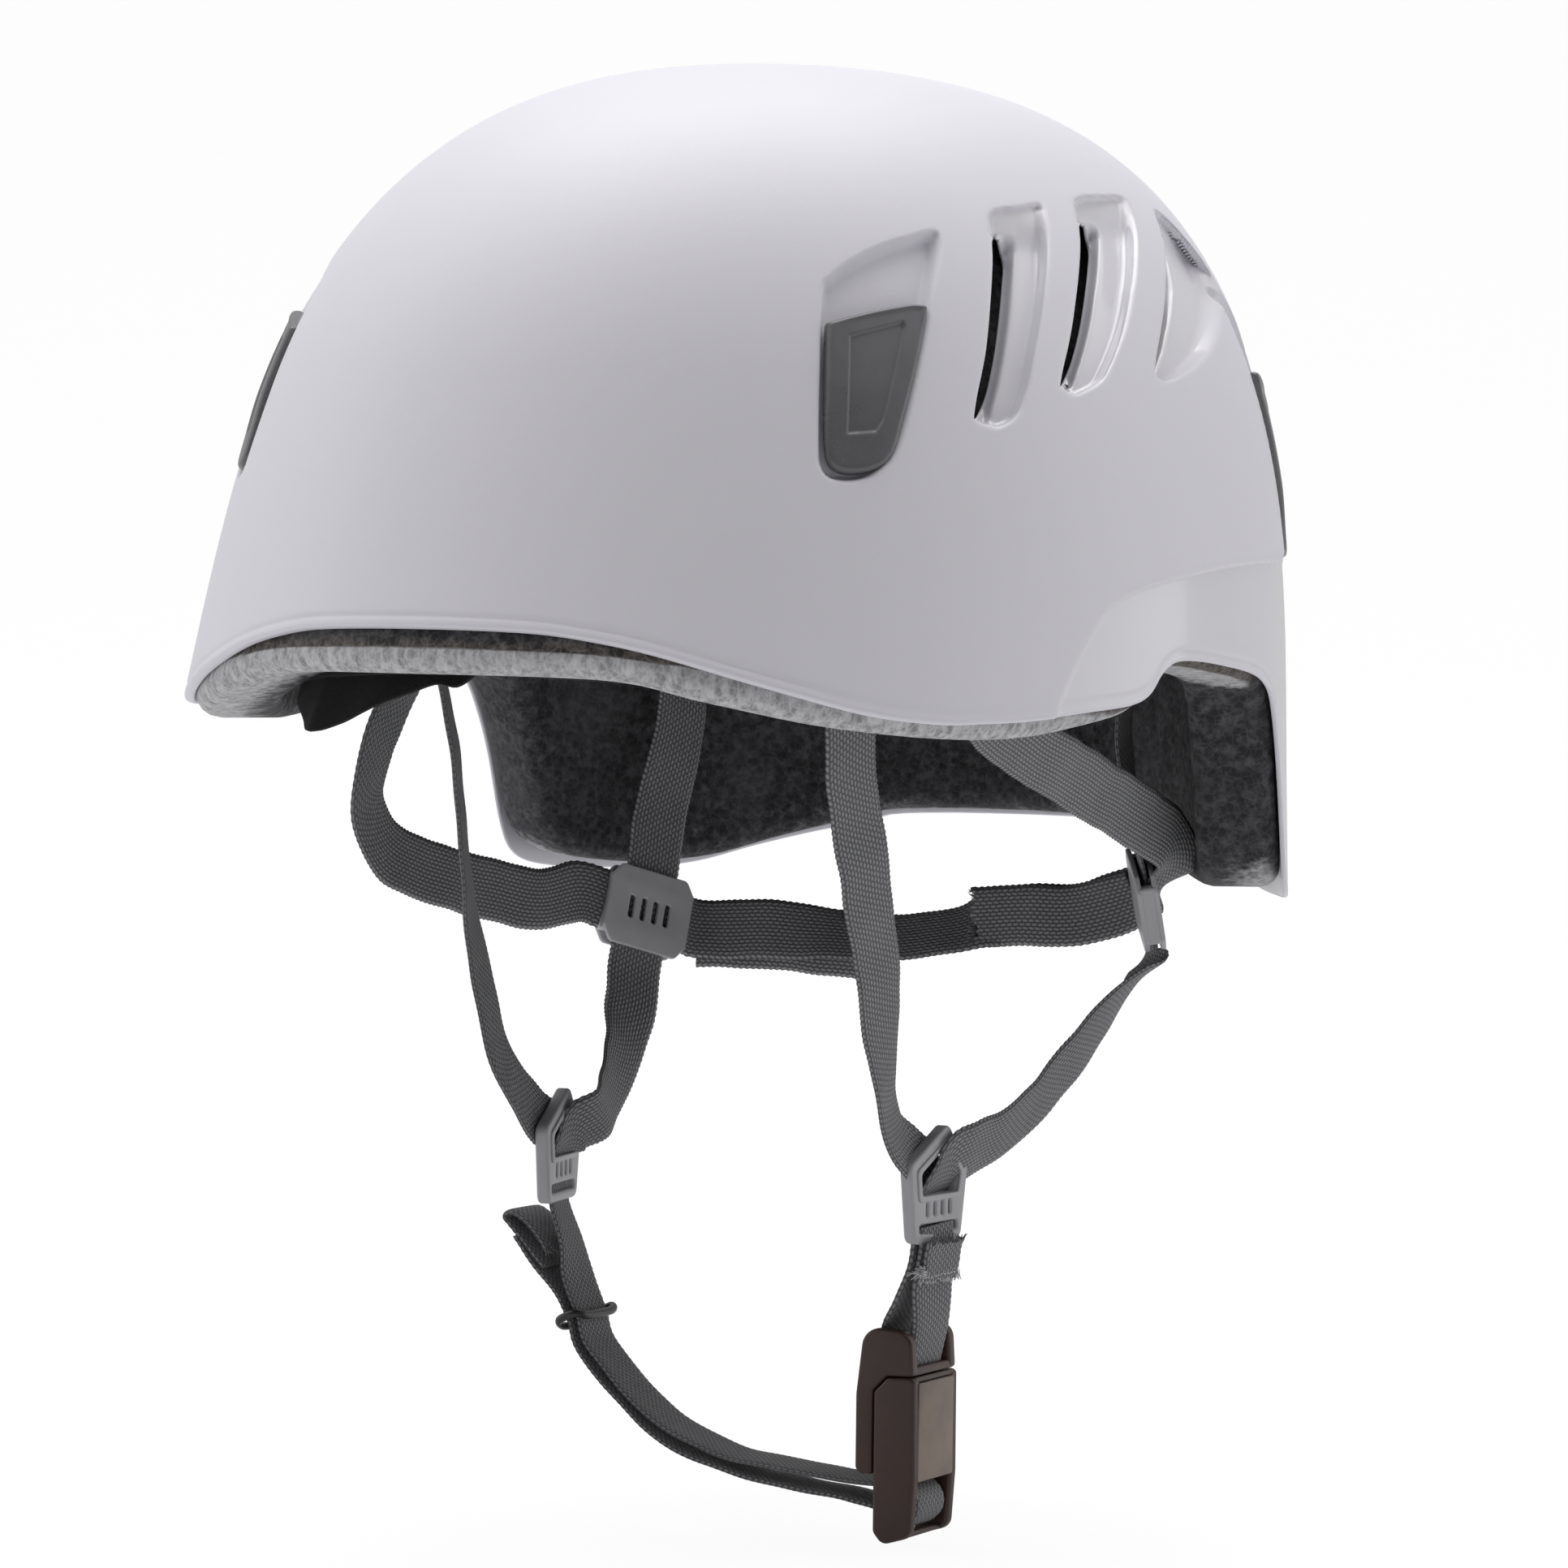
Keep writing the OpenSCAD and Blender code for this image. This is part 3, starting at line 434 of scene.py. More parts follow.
# ---------------------------------------------------------------- materials
class Nodes:
    """Short names for building a node tree, of a new material or of a world that is given."""

    def __init__(self, name, world=None):
        self.mat = world or bpy.data.materials.new(name)
        self.mat.use_nodes = True
        self.tree = self.mat.node_tree
        if not world:
            self.tree.nodes.clear()
            self.bsdf = self.tree.nodes.new("ShaderNodeBsdfPrincipled")
            self.link(self.bsdf.outputs[0], self.tree.nodes.new("ShaderNodeOutputMaterial").inputs[0])

    def link(self, a, b):
        self.tree.links.new(a, b)

    def put(self, socket, value):
        if isinstance(value, bpy.types.NodeSocket):
            self.link(value, socket)
        elif value is not None:
            socket.default_value = value

    def node(self, kind, **values):
        n = self.tree.nodes.new(kind)
        for k, v in values.items():
            setattr(n, k, v)
        return n

    def math(self, op, a, b=None, c=None):
        n = self.node("ShaderNodeMath", operation=op)
        for i, v in enumerate((a, b, c)):
            self.put(n.inputs[i], v)
        return n.outputs[0]

    def ramp(self, value, lo, hi, to_lo=0.0, to_hi=1.0):
        n = self.node("ShaderNodeMapRange", interpolation_type="SMOOTHSTEP")
        for i, v in enumerate((value, lo, hi, to_lo, to_hi)):
            self.put(n.inputs[i], v)
        return n.outputs[0]

    def mix(self, share, a, b):
        n = self.node("ShaderNodeMix", data_type="RGBA")
        self.put(n.inputs[0], share)
        self.put(n.inputs[6], a)
        self.put(n.inputs[7], b)
        return n.outputs[2]

    def place(self):
        return self.node("ShaderNodeTexCoord").outputs["Object"]

    def noise(self, scale, detail=3.0, rough=0.5, at=None):
        n = self.node("ShaderNodeTexNoise")
        self.link(at if at is not None else self.place(), n.inputs["Vector"])
        n.inputs["Scale"].default_value = scale
        n.inputs["Detail"].default_value = detail
        n.inputs["Roughness"].default_value = rough
        return n.outputs[0]

    def cells(self, scale, feature="F1", at=None):
        n = self.node("ShaderNodeTexVoronoi", feature=feature)
        self.link(at if at is not None else self.place(), n.inputs["Vector"])
        n.inputs["Scale"].default_value = scale
        return n.outputs["Distance"]

    def stretch(self, scale):
        n = self.node("ShaderNodeMapping")
        self.link(self.place(), n.inputs[0])
        n.inputs["Scale"].default_value = scale
        return n.outputs[0]

    def mark(self, name):
        return self.node("ShaderNodeAttribute", attribute_name=name).outputs["Fac"]

    def bump(self, height, depth_mm, strength=1.0):
        n = self.node("ShaderNodeBump")
        self.link(height, n.inputs["Height"])
        n.inputs["Distance"].default_value = depth_mm * MM
        n.inputs["Strength"].default_value = strength
        return n.outputs[0]

    def finish(self, color, rough, normal=None, **more):
        self.put(self.bsdf.inputs["Base Color"], color)
        self.put(self.bsdf.inputs["Roughness"], rough)
        if normal is not None:
            self.link(normal, self.bsdf.inputs["Normal"])
        for k, v in more.items():
            self.put(self.bsdf.inputs[k.replace("_", " ")], v)
        return self.mat


def rgb(r, g, b):
    """Display colour, 0 to 255, as a linear one."""
    return tuple(((c / 255 + 0.055) / 1.055) ** 2.4 if c > 10 else c / 255 / 12.92 for c in (r, g, b)) + (1,)


def shell_material():
    m = Nodes("shell_white")
    grain = m.noise(1900, 2, 0.6)
    cloud = m.noise(9, 3, 0.5)
    gloss = m.mark("gloss")
    color = m.mix(cloud, rgb(226, 224, 233), rgb(231, 229, 236))
    color = m.mix(m.math("MULTIPLY", gloss, 0.75), color, rgb(233, 231, 238))
    rough = m.math("ADD", m.ramp(gloss, 0, 1, 0.46, 0.16), m.math("MULTIPLY", m.noise(60, 4), 0.05))
    fine = m.bump(grain, 0.05, 0.55)
    m.link(m.ramp(gloss, 0, 1, 0.5, 0.02), fine.node.inputs["Strength"])
    return m.finish(color, rough, fine, Specular_IOR_Level=0.45, Coat_Roughness=0.05,
                    Coat_Weight=m.math("MULTIPLY", gloss, 0.3))


def foam_material():
    """Moulded bead foam: dark speckled inside; under the brim it is drawn pale, painted light as if lit from
    below, over the foam's fibre texture; next to the shell a darker row, painted shade.
    """
    m = Nodes("bead_foam")
    # Marks for painted light (brim, where the foam is drawn pale as if lit from below) and painted shade
    # (the darker row next to the shell's edge).
    brim, shade_under_shell = m.mark("brim"), m.mark("shade_under_shell")
    beads = m.cells(430)
    web = m.ramp(m.cells(430, "DISTANCE_TO_EDGE"), 0.0, 0.14, 1.0, 0.0)
    blotch = m.noise(330, 5, 0.7)
    broad = m.noise(28, 3, 0.6)
    dark = m.mix(m.ramp(blotch, 0.4, 0.68), rgb(34, 34, 37), rgb(84, 84, 87))
    dark = m.mix(m.math("MULTIPLY", web, 0.14), dark, rgb(120, 120, 124))
    dark = m.mix(m.ramp(broad, 0.45, 0.75, 0.0, 0.4), dark, rgb(96, 96, 99))
    fibre = m.noise(520, 5, 0.7, m.stretch((1.0, 1.0, 0.4)))
    # Painted light: the pale colour of the brim, as if lit from below, with the foam's fibre texture in it.
    pale = m.mix(m.ramp(fibre, 0.3, 0.7), rgb(134, 134, 137), rgb(208, 208, 211))
    pale = m.mix(m.math("MULTIPLY", web, 0.42), pale, rgb(206, 206, 208))
    # Painted shade: the darker row just below the shell's edge, with bead speckle in it.
    row = m.mix(m.ramp(blotch, 0.35, 0.65), rgb(52, 47, 44), rgb(104, 98, 94))
    row = m.mix(m.math("MULTIPLY", web, 0.24), row, rgb(160, 156, 152))
    rough_edge = m.math("MULTIPLY", m.math("SUBTRACT", blotch, 0.5), 0.9)
    pale = m.mix(m.ramp(m.math("MULTIPLY_ADD", rough_edge, 0.7, shade_under_shell), 0.25, 0.75), pale, row)
    # Painted light: where the brim mark is high the foam is drawn pale, as if lit from below.
    color = m.mix(m.ramp(m.math("ADD", brim, rough_edge), 0.3, 0.85), dark, pale)
    height = m.math("SUBTRACT", m.math("MULTIPLY", fibre, 0.5), m.math("MULTIPLY", beads, 1.0))
    return m.finish(color, m.ramp(blotch, 0.2, 0.8, 0.62, 0.85), m.bump(height, 0.4, 0.7),
                    Specular_IOR_Level=0.3)


def webbing_material():
    """Plain weave: yarns across the strap, each column half a thread out of step with the next."""
    column_cm, thread_cm = 0.094, 0.155
    m = Nodes("webbing_grey")
    uv = m.node("ShaderNodeUVMap", uv_map="weave").outputs[0]
    split = m.node("ShaderNodeSeparateXYZ")
    m.link(uv, split.inputs[0])
    along, across = split.outputs[0], split.outputs[1]
    v = m.math("MULTIPLY", across, 1 / column_cm)
    u = m.math("MULTIPLY", along, 1 / thread_cm)
    column = m.math("FLOOR", v)
    fv = m.math("SUBTRACT", m.math("FRACT", v), 0.5)
    odd = m.math("MULTIPLY", m.math("MODULO", m.math("ABSOLUTE", column), 2.0), 0.5)
    fu = m.math("SUBTRACT", m.math("FRACT", m.math("ADD", u, odd)), 0.5)
    yarn = m.math("COSINE", m.math("MULTIPLY", fv, math.pi))
    over = m.math("MULTIPLY_ADD", m.math("COSINE", m.math("MULTIPLY", fu, 2 * math.pi)), 0.5, 0.5)
    height = m.math("MULTIPLY", yarn, m.math("MULTIPLY_ADD", m.math("POWER", over, 0.5), 0.75, 0.25))
    fuzz = m.noise(5200, 2, 0.6)
    wear = m.noise(70, 4, 0.6)
    worn = m.math("MULTIPLY", m.math("SUBTRACT", wear, 0.5), 0.35)
    # Painted shade and painted highlight: gaps between yarns drawn darker and yarn tops lighter, plus random
    # wear.
    yarn_shade_and_wear = m.math("ADD", m.ramp(height, 0.2, 0.9), worn)
    color = m.mix(yarn_shade_and_wear, rgb(82, 82, 84), rgb(152, 152, 156))
    color = m.mix(m.math("MULTIPLY", fuzz, 0.22), color, rgb(150, 150, 154))
    total = m.math("ADD", height, m.math("MULTIPLY", fuzz, 0.25))
    return m.finish(color, 0.72, m.bump(total, 0.28, 0.9), Specular_IOR_Level=0.3,
                    Sheen_Weight=0.15, Sheen_Roughness=0.5)


def plastic_material(name, dark, light, rough, grain_mm=0.03, scale=1500):
    """Satin plastic: a faint cloud from dark to light, fine grain and a few paler scuffs."""
    m = Nodes(name)
    cloud = m.noise(45, 4, 0.6)
    grain = m.noise(scale, 3, 0.6)
    edge = m.noise(320, 5, 0.7)
    color = m.mix(m.ramp(cloud, 0.3, 0.7), rgb(*dark), rgb(*light))
    color = m.mix(m.ramp(edge, 0.62, 0.8, 0.0, 0.12), color, rgb(*[min(255, c + 40) for c in light]))
    wear = m.ramp(cloud, 0.25, 0.75, rough - 0.05, rough + 0.05)
    r = m.math("ADD", wear, m.math("MULTIPLY", grain, 0.06))
    return m.finish(color, r, m.bump(grain, grain_mm, 0.6), Specular_IOR_Level=0.5)


def pad_material():
    m = Nodes("pad_black")
    pile = m.noise(2600, 4, 0.7)
    nap = m.noise(120, 3, 0.6)
    color = m.mix(m.ramp(pile, 0.3, 0.7), rgb(14, 14, 15), rgb(38, 38, 40))
    color = m.mix(m.math("MULTIPLY", nap, 0.25), color, rgb(50, 50, 52))
    return m.finish(color, 0.95, m.bump(pile, 0.25, 0.9), Specular_IOR_Level=0.1, Sheen_Weight=0.06,
                    Sheen_Roughness=0.5)


def metal_material():
    m = Nodes("magnet_plating")
    lines = m.noise(900, 3, 0.6, m.stretch((1.0, 1.0, 0.08)))
    color = m.mix(lines, rgb(168, 168, 172), rgb(205, 205, 210))
    return m.finish(color, m.ramp(lines, 0.2, 0.8, 0.22, 0.36), m.bump(lines, 0.02, 0.5), Metallic=1.0)


def thread_material(name, dark, light):
    m = Nodes(name)
    twist = m.noise(2400, 2, 0.6)
    color = m.mix(twist, rgb(*dark), rgb(*light))
    return m.finish(color, 0.7, m.bump(twist, 0.08, 0.6), Sheen_Weight=0.2)


SHELL = shell_material()
FOAM = foam_material()
WEBBING = webbing_material()
PAD = pad_material()
CLIP = plastic_material("clip_grey", (98, 98, 101), (107, 107, 110), 0.27, 0.02)
HARDWARE = plastic_material("hardware_grey", (170, 170, 174), (186, 186, 190), 0.36)
BUCKLE = plastic_material("buckle_brown", (60, 42, 35), (70, 50, 43), 0.38, 0.04, 1300)
PLATE = plastic_material("plate_taupe", (112, 98, 88), (146, 130, 118), 0.45, 0.05, 1100)
RING_BLACK = plastic_material("ring_black", (40, 40, 42), (60, 60, 62), 0.25)
METAL = metal_material()
STITCH = thread_material("stitch_pale", (184, 184, 186), (226, 226, 228))
FIBRE = thread_material("fibre_grey", (70, 70, 72), (140, 140, 143))


# ---------------------------------------------------------------- shell
def shell_gloss(a, z):
    """1 in the gloss panel and in the vents, 0 on the matt rest."""
    b = np.abs(a)
    gloss = np.zeros(a.shape)
    low = z < 60
    gloss[low] = smooth(-signed_distance(b[low], z[low], closed_curve(PANEL_LINE, 3)), 0.2, 1.0)
    box = (b > 50) & (b < 124) & (z > 64) & (z < 128)
    for vent in VENTS:
        inside = -signed_distance(b[box], z[box], closed_curve(vent["outline"], 5))
        gloss[box] = np.maximum(gloss[box], smooth(inside, -0.2, 0.6))
    return gloss.ravel()


def build_shell():
    lip, lip_start = 0.7, 0.9
    a, z = grid(SHELL_RIM, lip_start, 0.36, 1.2, 0.62, 52, 40)
    a, z, clear = snap(a, z, [slot_outline(v) for v in VENTS], 0.47)
    normal, move = dome_normal(a, z), hollow(a, z)
    rim_z = rim_height(a[0], SHELL_RIM)
    groove = 0.3 * np.exp(-(((z - rim_z[None, :] - 2.6) / 0.5) ** 2)) * smooth(rim_z, 3, 6)[None, :]
    outer = dome(a, z) + move - groove[..., None] * normal
    sunk = smooth(np.linalg.norm(move, axis=-1), 0.0, 0.35)[..., None]
    inner = outer + (WALL - 1.3 * sunk) * unit(sunk * unit(move) - (1 - sunk) * normal)
    poles = [[0, CROWN_Y, CROWN], [0, CROWN_Y, CROWN - WALL]]
    points, faces, used = skin(outer, inner, poles, clear, lip)
    gloss = shell_gloss(a, z)
    gloss = np.concatenate([gloss, gloss, np.zeros(used.max() + 1)])[used]
    shell = add_mesh("shell_skin", points, faces, SHELL, marks={"gloss": gloss})
    attach(shell, "helmet", "outer_shell")


# ---------------------------------------------------------------- liner
def foam_marks(points):
    """Where the liner gets its painted light, the brim drawn pale as if lit from below, and, next to the
    shell's edge, its painted shade, a darker row.
    """
    angle = np.degrees(np.arctan2(points[:, 0], -points[:, 1]))
    skin_here = dome(angle, np.maximum(points[:, 2], 0))
    inset = np.linalg.norm(skin_here[:, :2], axis=1) - np.linalg.norm(points[:, :2], axis=1) - LINER_INSET
    front_half = smooth(points[:, 1], 60, 30)
    # Painted light: the brim drawn pale as if lit from below, more at the front, less deep inside.
    brim = smooth(points[:, 2] - rim_height(angle, FOAM_RIM), 12, 1.5) * (0.76 + 0.24 * front_half)
    brim *= 1 - 0.65 * smooth(inset, 14, 18)
    # Painted shade: a darker band just below the shell's edge.
    shade_band_width = 2.6 + 1.6 * smooth(points[:, 1], -118, -144)
    below_shell = rim_height(angle, SHELL_RIM) - points[:, 2]
    return {"brim": brim, "shade_under_shell": smooth(below_shell - shade_band_width, 0.5, -0.5) * smooth(inset, 6, 2)}


def build_liner():
    lip, inside = 4.2, LINER_INSET + LINER_T
    a, z = grid(FOAM_RIM, lip, 0.8, 1.6, 1.4, 34, 26)
    a, z, clear = snap(a, z, [slot_outline(v) for v in VENTS], 1.04)
    outer = dome(a, z) + hollow(a, z, True) - LINER_INSET * dome_normal(a, z)
    inner = dome(a, z - inside * (np.maximum(z, 0) / CROWN) ** 2, inside)
    top = CROWN - LINER_INSET
    points, faces, _ = skin(outer, inner, [[0, CROWN_Y, top], [0, CROWN_Y, top - LINER_T]], clear, lip)
    liner = add_mesh("liner_foam", points, faces, FOAM, marks=foam_marks(points))
    attach(liner, "helmet", "foam_liner")


build_shell()
build_liner()

# ---------------------------------------------------------------- webbing
WEB_W, WEB_T, TAB_T = 15.0, 1.3, 1.6


def strap_frames(rows, step=0.42):
    """Even steps along a strap whose rows are [place, direction across the strap]."""
    path = curve([r[0] for r in rows], 24)
    hint = curve([r[1] for r in rows], 24)
    far = np.concatenate([[0], np.cumsum(np.linalg.norm(np.diff(path, axis=0), axis=1))])
    s = np.linspace(0, far[-1], max(8, int(far[-1] / step)))
    p = np.stack([np.interp(s, far, path[:, k]) for k in range(3)], -1)
    h = np.stack([np.interp(s, far, hint[:, k]) for k in range(3)], -1)
    along = unit(np.gradient(p, axis=0))
    side = unit(h - (h * along).sum(-1, keepdims=True) * along)
    return s, p, along, side, np.cross(along, side)


def wobble(s, seed, size, wave=23.0):
    """Slow irregular wave along a strap."""
    ph = np.random.default_rng(seed).uniform(0, 6.28, 3)
    return size * (np.sin(s / wave * 6.28 + ph[0]) * 0.5 + np.sin(s / wave * 11 + ph[1]) * 0.3
                   + np.sin(s / wave * 2.9 + ph[2]) * 0.4)


def ribbon(name, rows, body, seed, node=None, thick=WEB_T, fray=(0, 0), bend=None):
    """Webbing with waves, yarn bumps along its edges and, where fray says, ragged ends. Where bend is
    given, it stays where it is built and rides no body."""
    s, p, along, side, face = strap_frames(rows)
    cols = np.linspace(-1, 1, 13)
    cols = np.sign(cols) * np.abs(cols) ** 0.8
    half_t = thick / 2 * (1 - np.abs(cols) ** 7) ** 0.5
    half_w = WEB_W / 2 + 0.13 * np.sin(s * 2 * math.pi / 1.55) + wobble(s, seed, 0.13, 17)
    sway, lift = wobble(s, seed + 50, 0.22, 31), wobble(s, seed + 90, 0.25, 27)
    n, n_cols = len(s), len(cols)
    ring_v = np.concatenate([cols, cols[-2:0:-1]])
    ring_t = np.concatenate([half_t, -half_t[-2:0:-1]])
    m = len(ring_v)
    bite = np.random.default_rng(seed + 7).uniform(-1, 1, n_cols)
    bite = np.concatenate([bite, bite[-2:0:-1]])
    ragged = np.zeros((n, m))
    ragged[0] -= bite * fray[0]
    ragged[-1] += bite * fray[1]
    pts = (p[:, None, :] + (sway[:, None] + half_w[:, None] * ring_v[None, :])[..., None] * side[:, None, :]
           + (lift[:, None] + ring_t[None, :])[..., None] * face[:, None, :]
           + ragged[..., None] * along[:, None, :])
    idx = np.arange(n * m).reshape(n, m)
    nx = np.roll(idx, -1, 1)
    faces = list(np.stack([idx[:-1], nx[:-1], nx[1:], idx[1:]], -1).reshape(-1, 4))
    for end in (0, n - 1):
        for k in range(n_cols - 1):
            a, b = idx[end, k], idx[end, k + 1]
            c, d = idx[end, (m - k - 1) % m], idx[end, (m - k) % m]
            f = [a, d, c, b] if k else [a, c, b]
            if k == n_cols - 2:
                f = [a, d, b]
            faces.append(f if end == 0 else f[::-1])
    across = np.repeat((ring_v * WEB_W / 2)[None, :], n, 0)
    uv = np.stack([np.repeat(s[:, None], m, 1), across], -1) / 10
    obj = add_mesh(name, pts.reshape(-1, 3), faces, WEBBING, uv=uv.reshape(-1, 2))
    if not bend:
        return attach(obj, body, node)
    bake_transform(obj)
    if node:
        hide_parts(node)
    return obj


def tube(verts, faces, path, radius, sides=5):
    """Adds a thin round thread along a path to a vertex and a face list."""
    path = np.asarray(path, float)
    along = unit(np.gradient(path, axis=0))
    ref = np.array([0.3, 0.2, 0.93])
    a = unit(np.cross(along, ref))
    b = np.cross(along, a)
    base = len(verts)
    for i, q in enumerate(path):
        taper = radius * (1 if 0 < i < len(path) - 1 else 0.6)
        for k in range(sides):
            t = 2 * math.pi * k / sides
            verts.append(q + taper * (math.cos(t) * a[i] + math.sin(t) * b[i]))
    for i in range(len(path) - 1):
        for k in range(sides):
            j = (k + 1) % sides
            faces.append([base + i * sides + k, base + i * sides + j,
                          base + (i + 1) * sides + j, base + (i + 1) * sides + k])
    faces.append([base + k for k in range(sides)][::-1])
    faces.append([base + (len(path) - 1) * sides + k for k in range(sides)])


def fibres(name, body, root, side, along, face, width, count, length, seed, mat=FIBRE):
    """Loose yarn ends along a cut edge of webbing."""
    radius = 0.13
    rng = np.random.default_rng(seed)
    root, side, along, face = (np.asarray(v, float) for v in (root, side, along, face))
    verts, faces = [], []
    for _ in range(count):
        v = rng.uniform(-0.5, 0.5) * width
        reach = length * rng.uniform(0.4, 1.0)
        lean = rng.normal(0, 0.35, 2)
        start = root + v * side + rng.uniform(-0.5, 0.5) * face
        path = [start - 0.6 * along]
        for t in (0.33, 0.66, 1.0):
            path.append(start + reach * t * along + reach * t * t * (lean[0] * side + lean[1] * face))
        tube(verts, faces, path, radius, 4)
    attach(add_mesh(name, verts, faces, mat), body)


def stitches(name, body, start, end, face, rows, pitch, seed, mat=STITCH):
    """Sewn line of short raised threads from start to end, on a surface that faces along face."""
    start, end, face = (np.asarray(v, float) for v in (start, end, face))
    rng = np.random.default_rng(seed)
    along = unit(end - start)
    across = np.cross(face, along)
    length = np.linalg.norm(end - start)
    verts, faces = [], []
    for r in range(rows):
        offset = (r - (rows - 1) / 2) * 0.75
        for k in range(int(length / pitch)):
            c = start + along * (k + 0.5) * pitch + across * (offset + rng.normal(0, 0.12)) + 0.1 * face
            half = along * pitch * 0.42 + across * rng.normal(0, 0.14)
            tube(verts, faces, [c - half - 0.35 * face, c - 0.5 * half + 0.12 * face,
                                c + 0.5 * half + 0.12 * face, c + half - 0.35 * face], 0.2, 5)
    attach(add_mesh(name, verts, faces, mat), body)


def lean_up(lean):
    """Up direction of a slider that leans forward by lean degrees."""
    return np.array([0, -math.sin(math.radians(lean)), math.cos(math.radians(lean))])


def lean_side(lean, turn):
    """Direction across that slider, turned by turn degrees about the vertical."""
    cl, sl = math.cos(math.radians(lean)), math.sin(math.radians(lean))
    ct, st = math.cos(math.radians(turn)), math.sin(math.radians(turn))
    return np.array([-st, ct * cl, ct * sl])


# Straps, each row [place, direction across the strap]. L_ and R_ tell where the nape sliders are.
L_AT, R_AT = np.array([62.5, 78.5, -38.5]), np.array([-63.5, 57, -46])
L_UP, R_UP = lean_up(22), lean_up(-18)
L_SIDE, R_SIDE = lean_side(22, 30), lean_side(-18, -30)

LEFT_FRONT = [[[64, -78, 30], [0.3, 0.95, 0]], [[63.6, -78, 14], [0.3, 0.95, 0]],
              [[60.5, -72, -4], [0.28, 0.96, 0]], [[58, -61, -23], [0.25, 0.96, 0]],
              [[55, -49.2, -41.3], [0.18, 0.98, 0]], [[51.6, -38, -60], [0.1, 0.98, 0.1]],
              [[47.6, -27, -77.2], [-0.2, 1, 0.3]], [[44.6, -17, -88.5], [-0.3, 1, 0.5]],
              [[44.6, -8, -94.5], [-0.15, 0.9, 0.6]], [[45, -2, -100], [0.1, 0.9, 0.3]],
              [[44.6, -1.4, -107], [0.1, 1, 0.1]]]
LEFT_REAR = [[[66, 62, 30], [0.18, -1, 0]], [[64.6, 62, 14], [0.18, -1, 0]],
             [[63.3, 63, 0], [0.2, -1, -0.1]], [L_AT + 24 * L_UP, [0.28, -0.95, -0.2]],
             [L_AT + 13 * L_UP, -L_SIDE], [L_AT, -L_SIDE], [L_AT - 14 * L_UP, -L_SIDE],
             [[61.6, 74.5, -58.5], [0.4, -0.8, 0.1]], [[59.6, 62, -66.5], [0.3, -0.9, 0.6]],
             [[56.6, 50, -76], [0.2, -1, 0.9]], [[53.4, 38.7, -85.5], [0.2, -1, 0.7]],
             [[50.6, 24, -92.2], [0.3, -1, 0.8]], [[49.6, 12.5, -94.6], [0.3, -1, 1.0]],
             [[48.9, 5.4, -96.4], [0.1, -1, 0.8]], [[47.6, 2, -99.6], [0.1, -1, 0.2]],
             [[46, -0.4, -103.4], [0.1, -1, 0]], [[44.2, -1.2, -108], [0.1, -1, 0]]]
RIGHT_FRONT = [[[-66, -52, 32], [0.45, -0.9, 0]], [[-61, -45, 14], [0.45, -0.9, 0]],
               [[-58.5, -43, -1], [0.42, -0.9, 0]], [[-57.5, -40, -18], [0.43, -0.9, 0]],
               [[-57, -38, -34], [0.41, -0.92, 0]], [[-56, -33, -56], [0.24, -1, 0]],
               [[-54, -27, -75], [0.24, -1, -0.2]], [[-53.4, -18, -85], [0.3, -1, -0.5]],
               [[-53.6, -10, -91], [0.2, -1, -0.7]], [[-52.6, -4.4, -94.6], [0.1, -1, -0.5]],
               [[-52.4, -2.6, -98.6], [0.2, -1, 0]], [[-53, -2, -104.6], [0.2, -1, 0]]]
RIGHT_REAR = [[[-65, 70, 30], [0.3, 1, 0]], [[-62.6, 72, 14], [0.3, 1, 0]],
              [[-61.5, 71, 2], [0.4, 0.9, 0]], [R_AT + 28 * R_UP, R_SIDE],
              [R_AT + 13 * R_UP, R_SIDE], [R_AT, R_SIDE], [R_AT - 14 * R_UP, R_SIDE],
              [[-61.4, 47, -69], [0.45, 0.9, -0.2]], [[-58, 37, -79.4], [0.05, 1, -0.3]],
              [[-53, 23, -87.4], [-0.2, 1, -0.5]], [[-48.6, 11, -91.6], [-0.2, 1, -0.9]],
              [[-50.2, 4, -94.2], [0, 1, -0.8]], [[-51.8, 0.2, -98.4], [-0.1, 1, 0]],
              [[-53.6, -1.6, -103.6], [-0.2, 1, 0]]]
AWAY = [-0.33, 0.62, 0.7]
NAPE = [[L_AT + 12.4 * L_SIDE - 6.2 * L_UP, L_UP], [L_AT + 17 * L_SIDE - 6 * L_UP, L_UP],
        [[40, 92, -43.4], [0, 0, 1]], [[28, 88.6, -44.2], [0, 0.1, 1]],
        [[18, 86, -45.6], [-0.2, 0.4, 0.9]], [[9, 84, -48.6], AWAY], [[-6, 81.4, -51], AWAY],
        [[-20, 79.6, -50.8], [-0.3, 0.55, 0.75]], [[-38, 74.4, -50], [-0.1, 0.25, 1]],
        [R_AT + 17 * R_SIDE, R_UP], [R_AT + 12 * R_SIDE, R_UP]]
NAPE_LAYER = [[L_AT + 15 * L_SIDE - 6.2 * L_UP - [0.8, 1.9, 0], L_UP], [[40, 89.8, -43.6], [0, 0, 1]],
              [[28, 86.4, -44.4], [0, 0, 1]], [[14.8, 82.6, -45.2], [0, 0.1, 1]]]
NAPE_TAIL = [[R_AT + 16 * R_SIDE + [-1, 2.2, -2.4], R_UP], [[-38, 76.4, -52.6], [0.02, 0, 1]],
             [[-24, 81.4, -53.6], [0.05, 0, 1]], [[-13, 82.6, -54.6], [0.05, 0.05, 1]]]
SQUARE = [0.42, 0.26, 0.87]
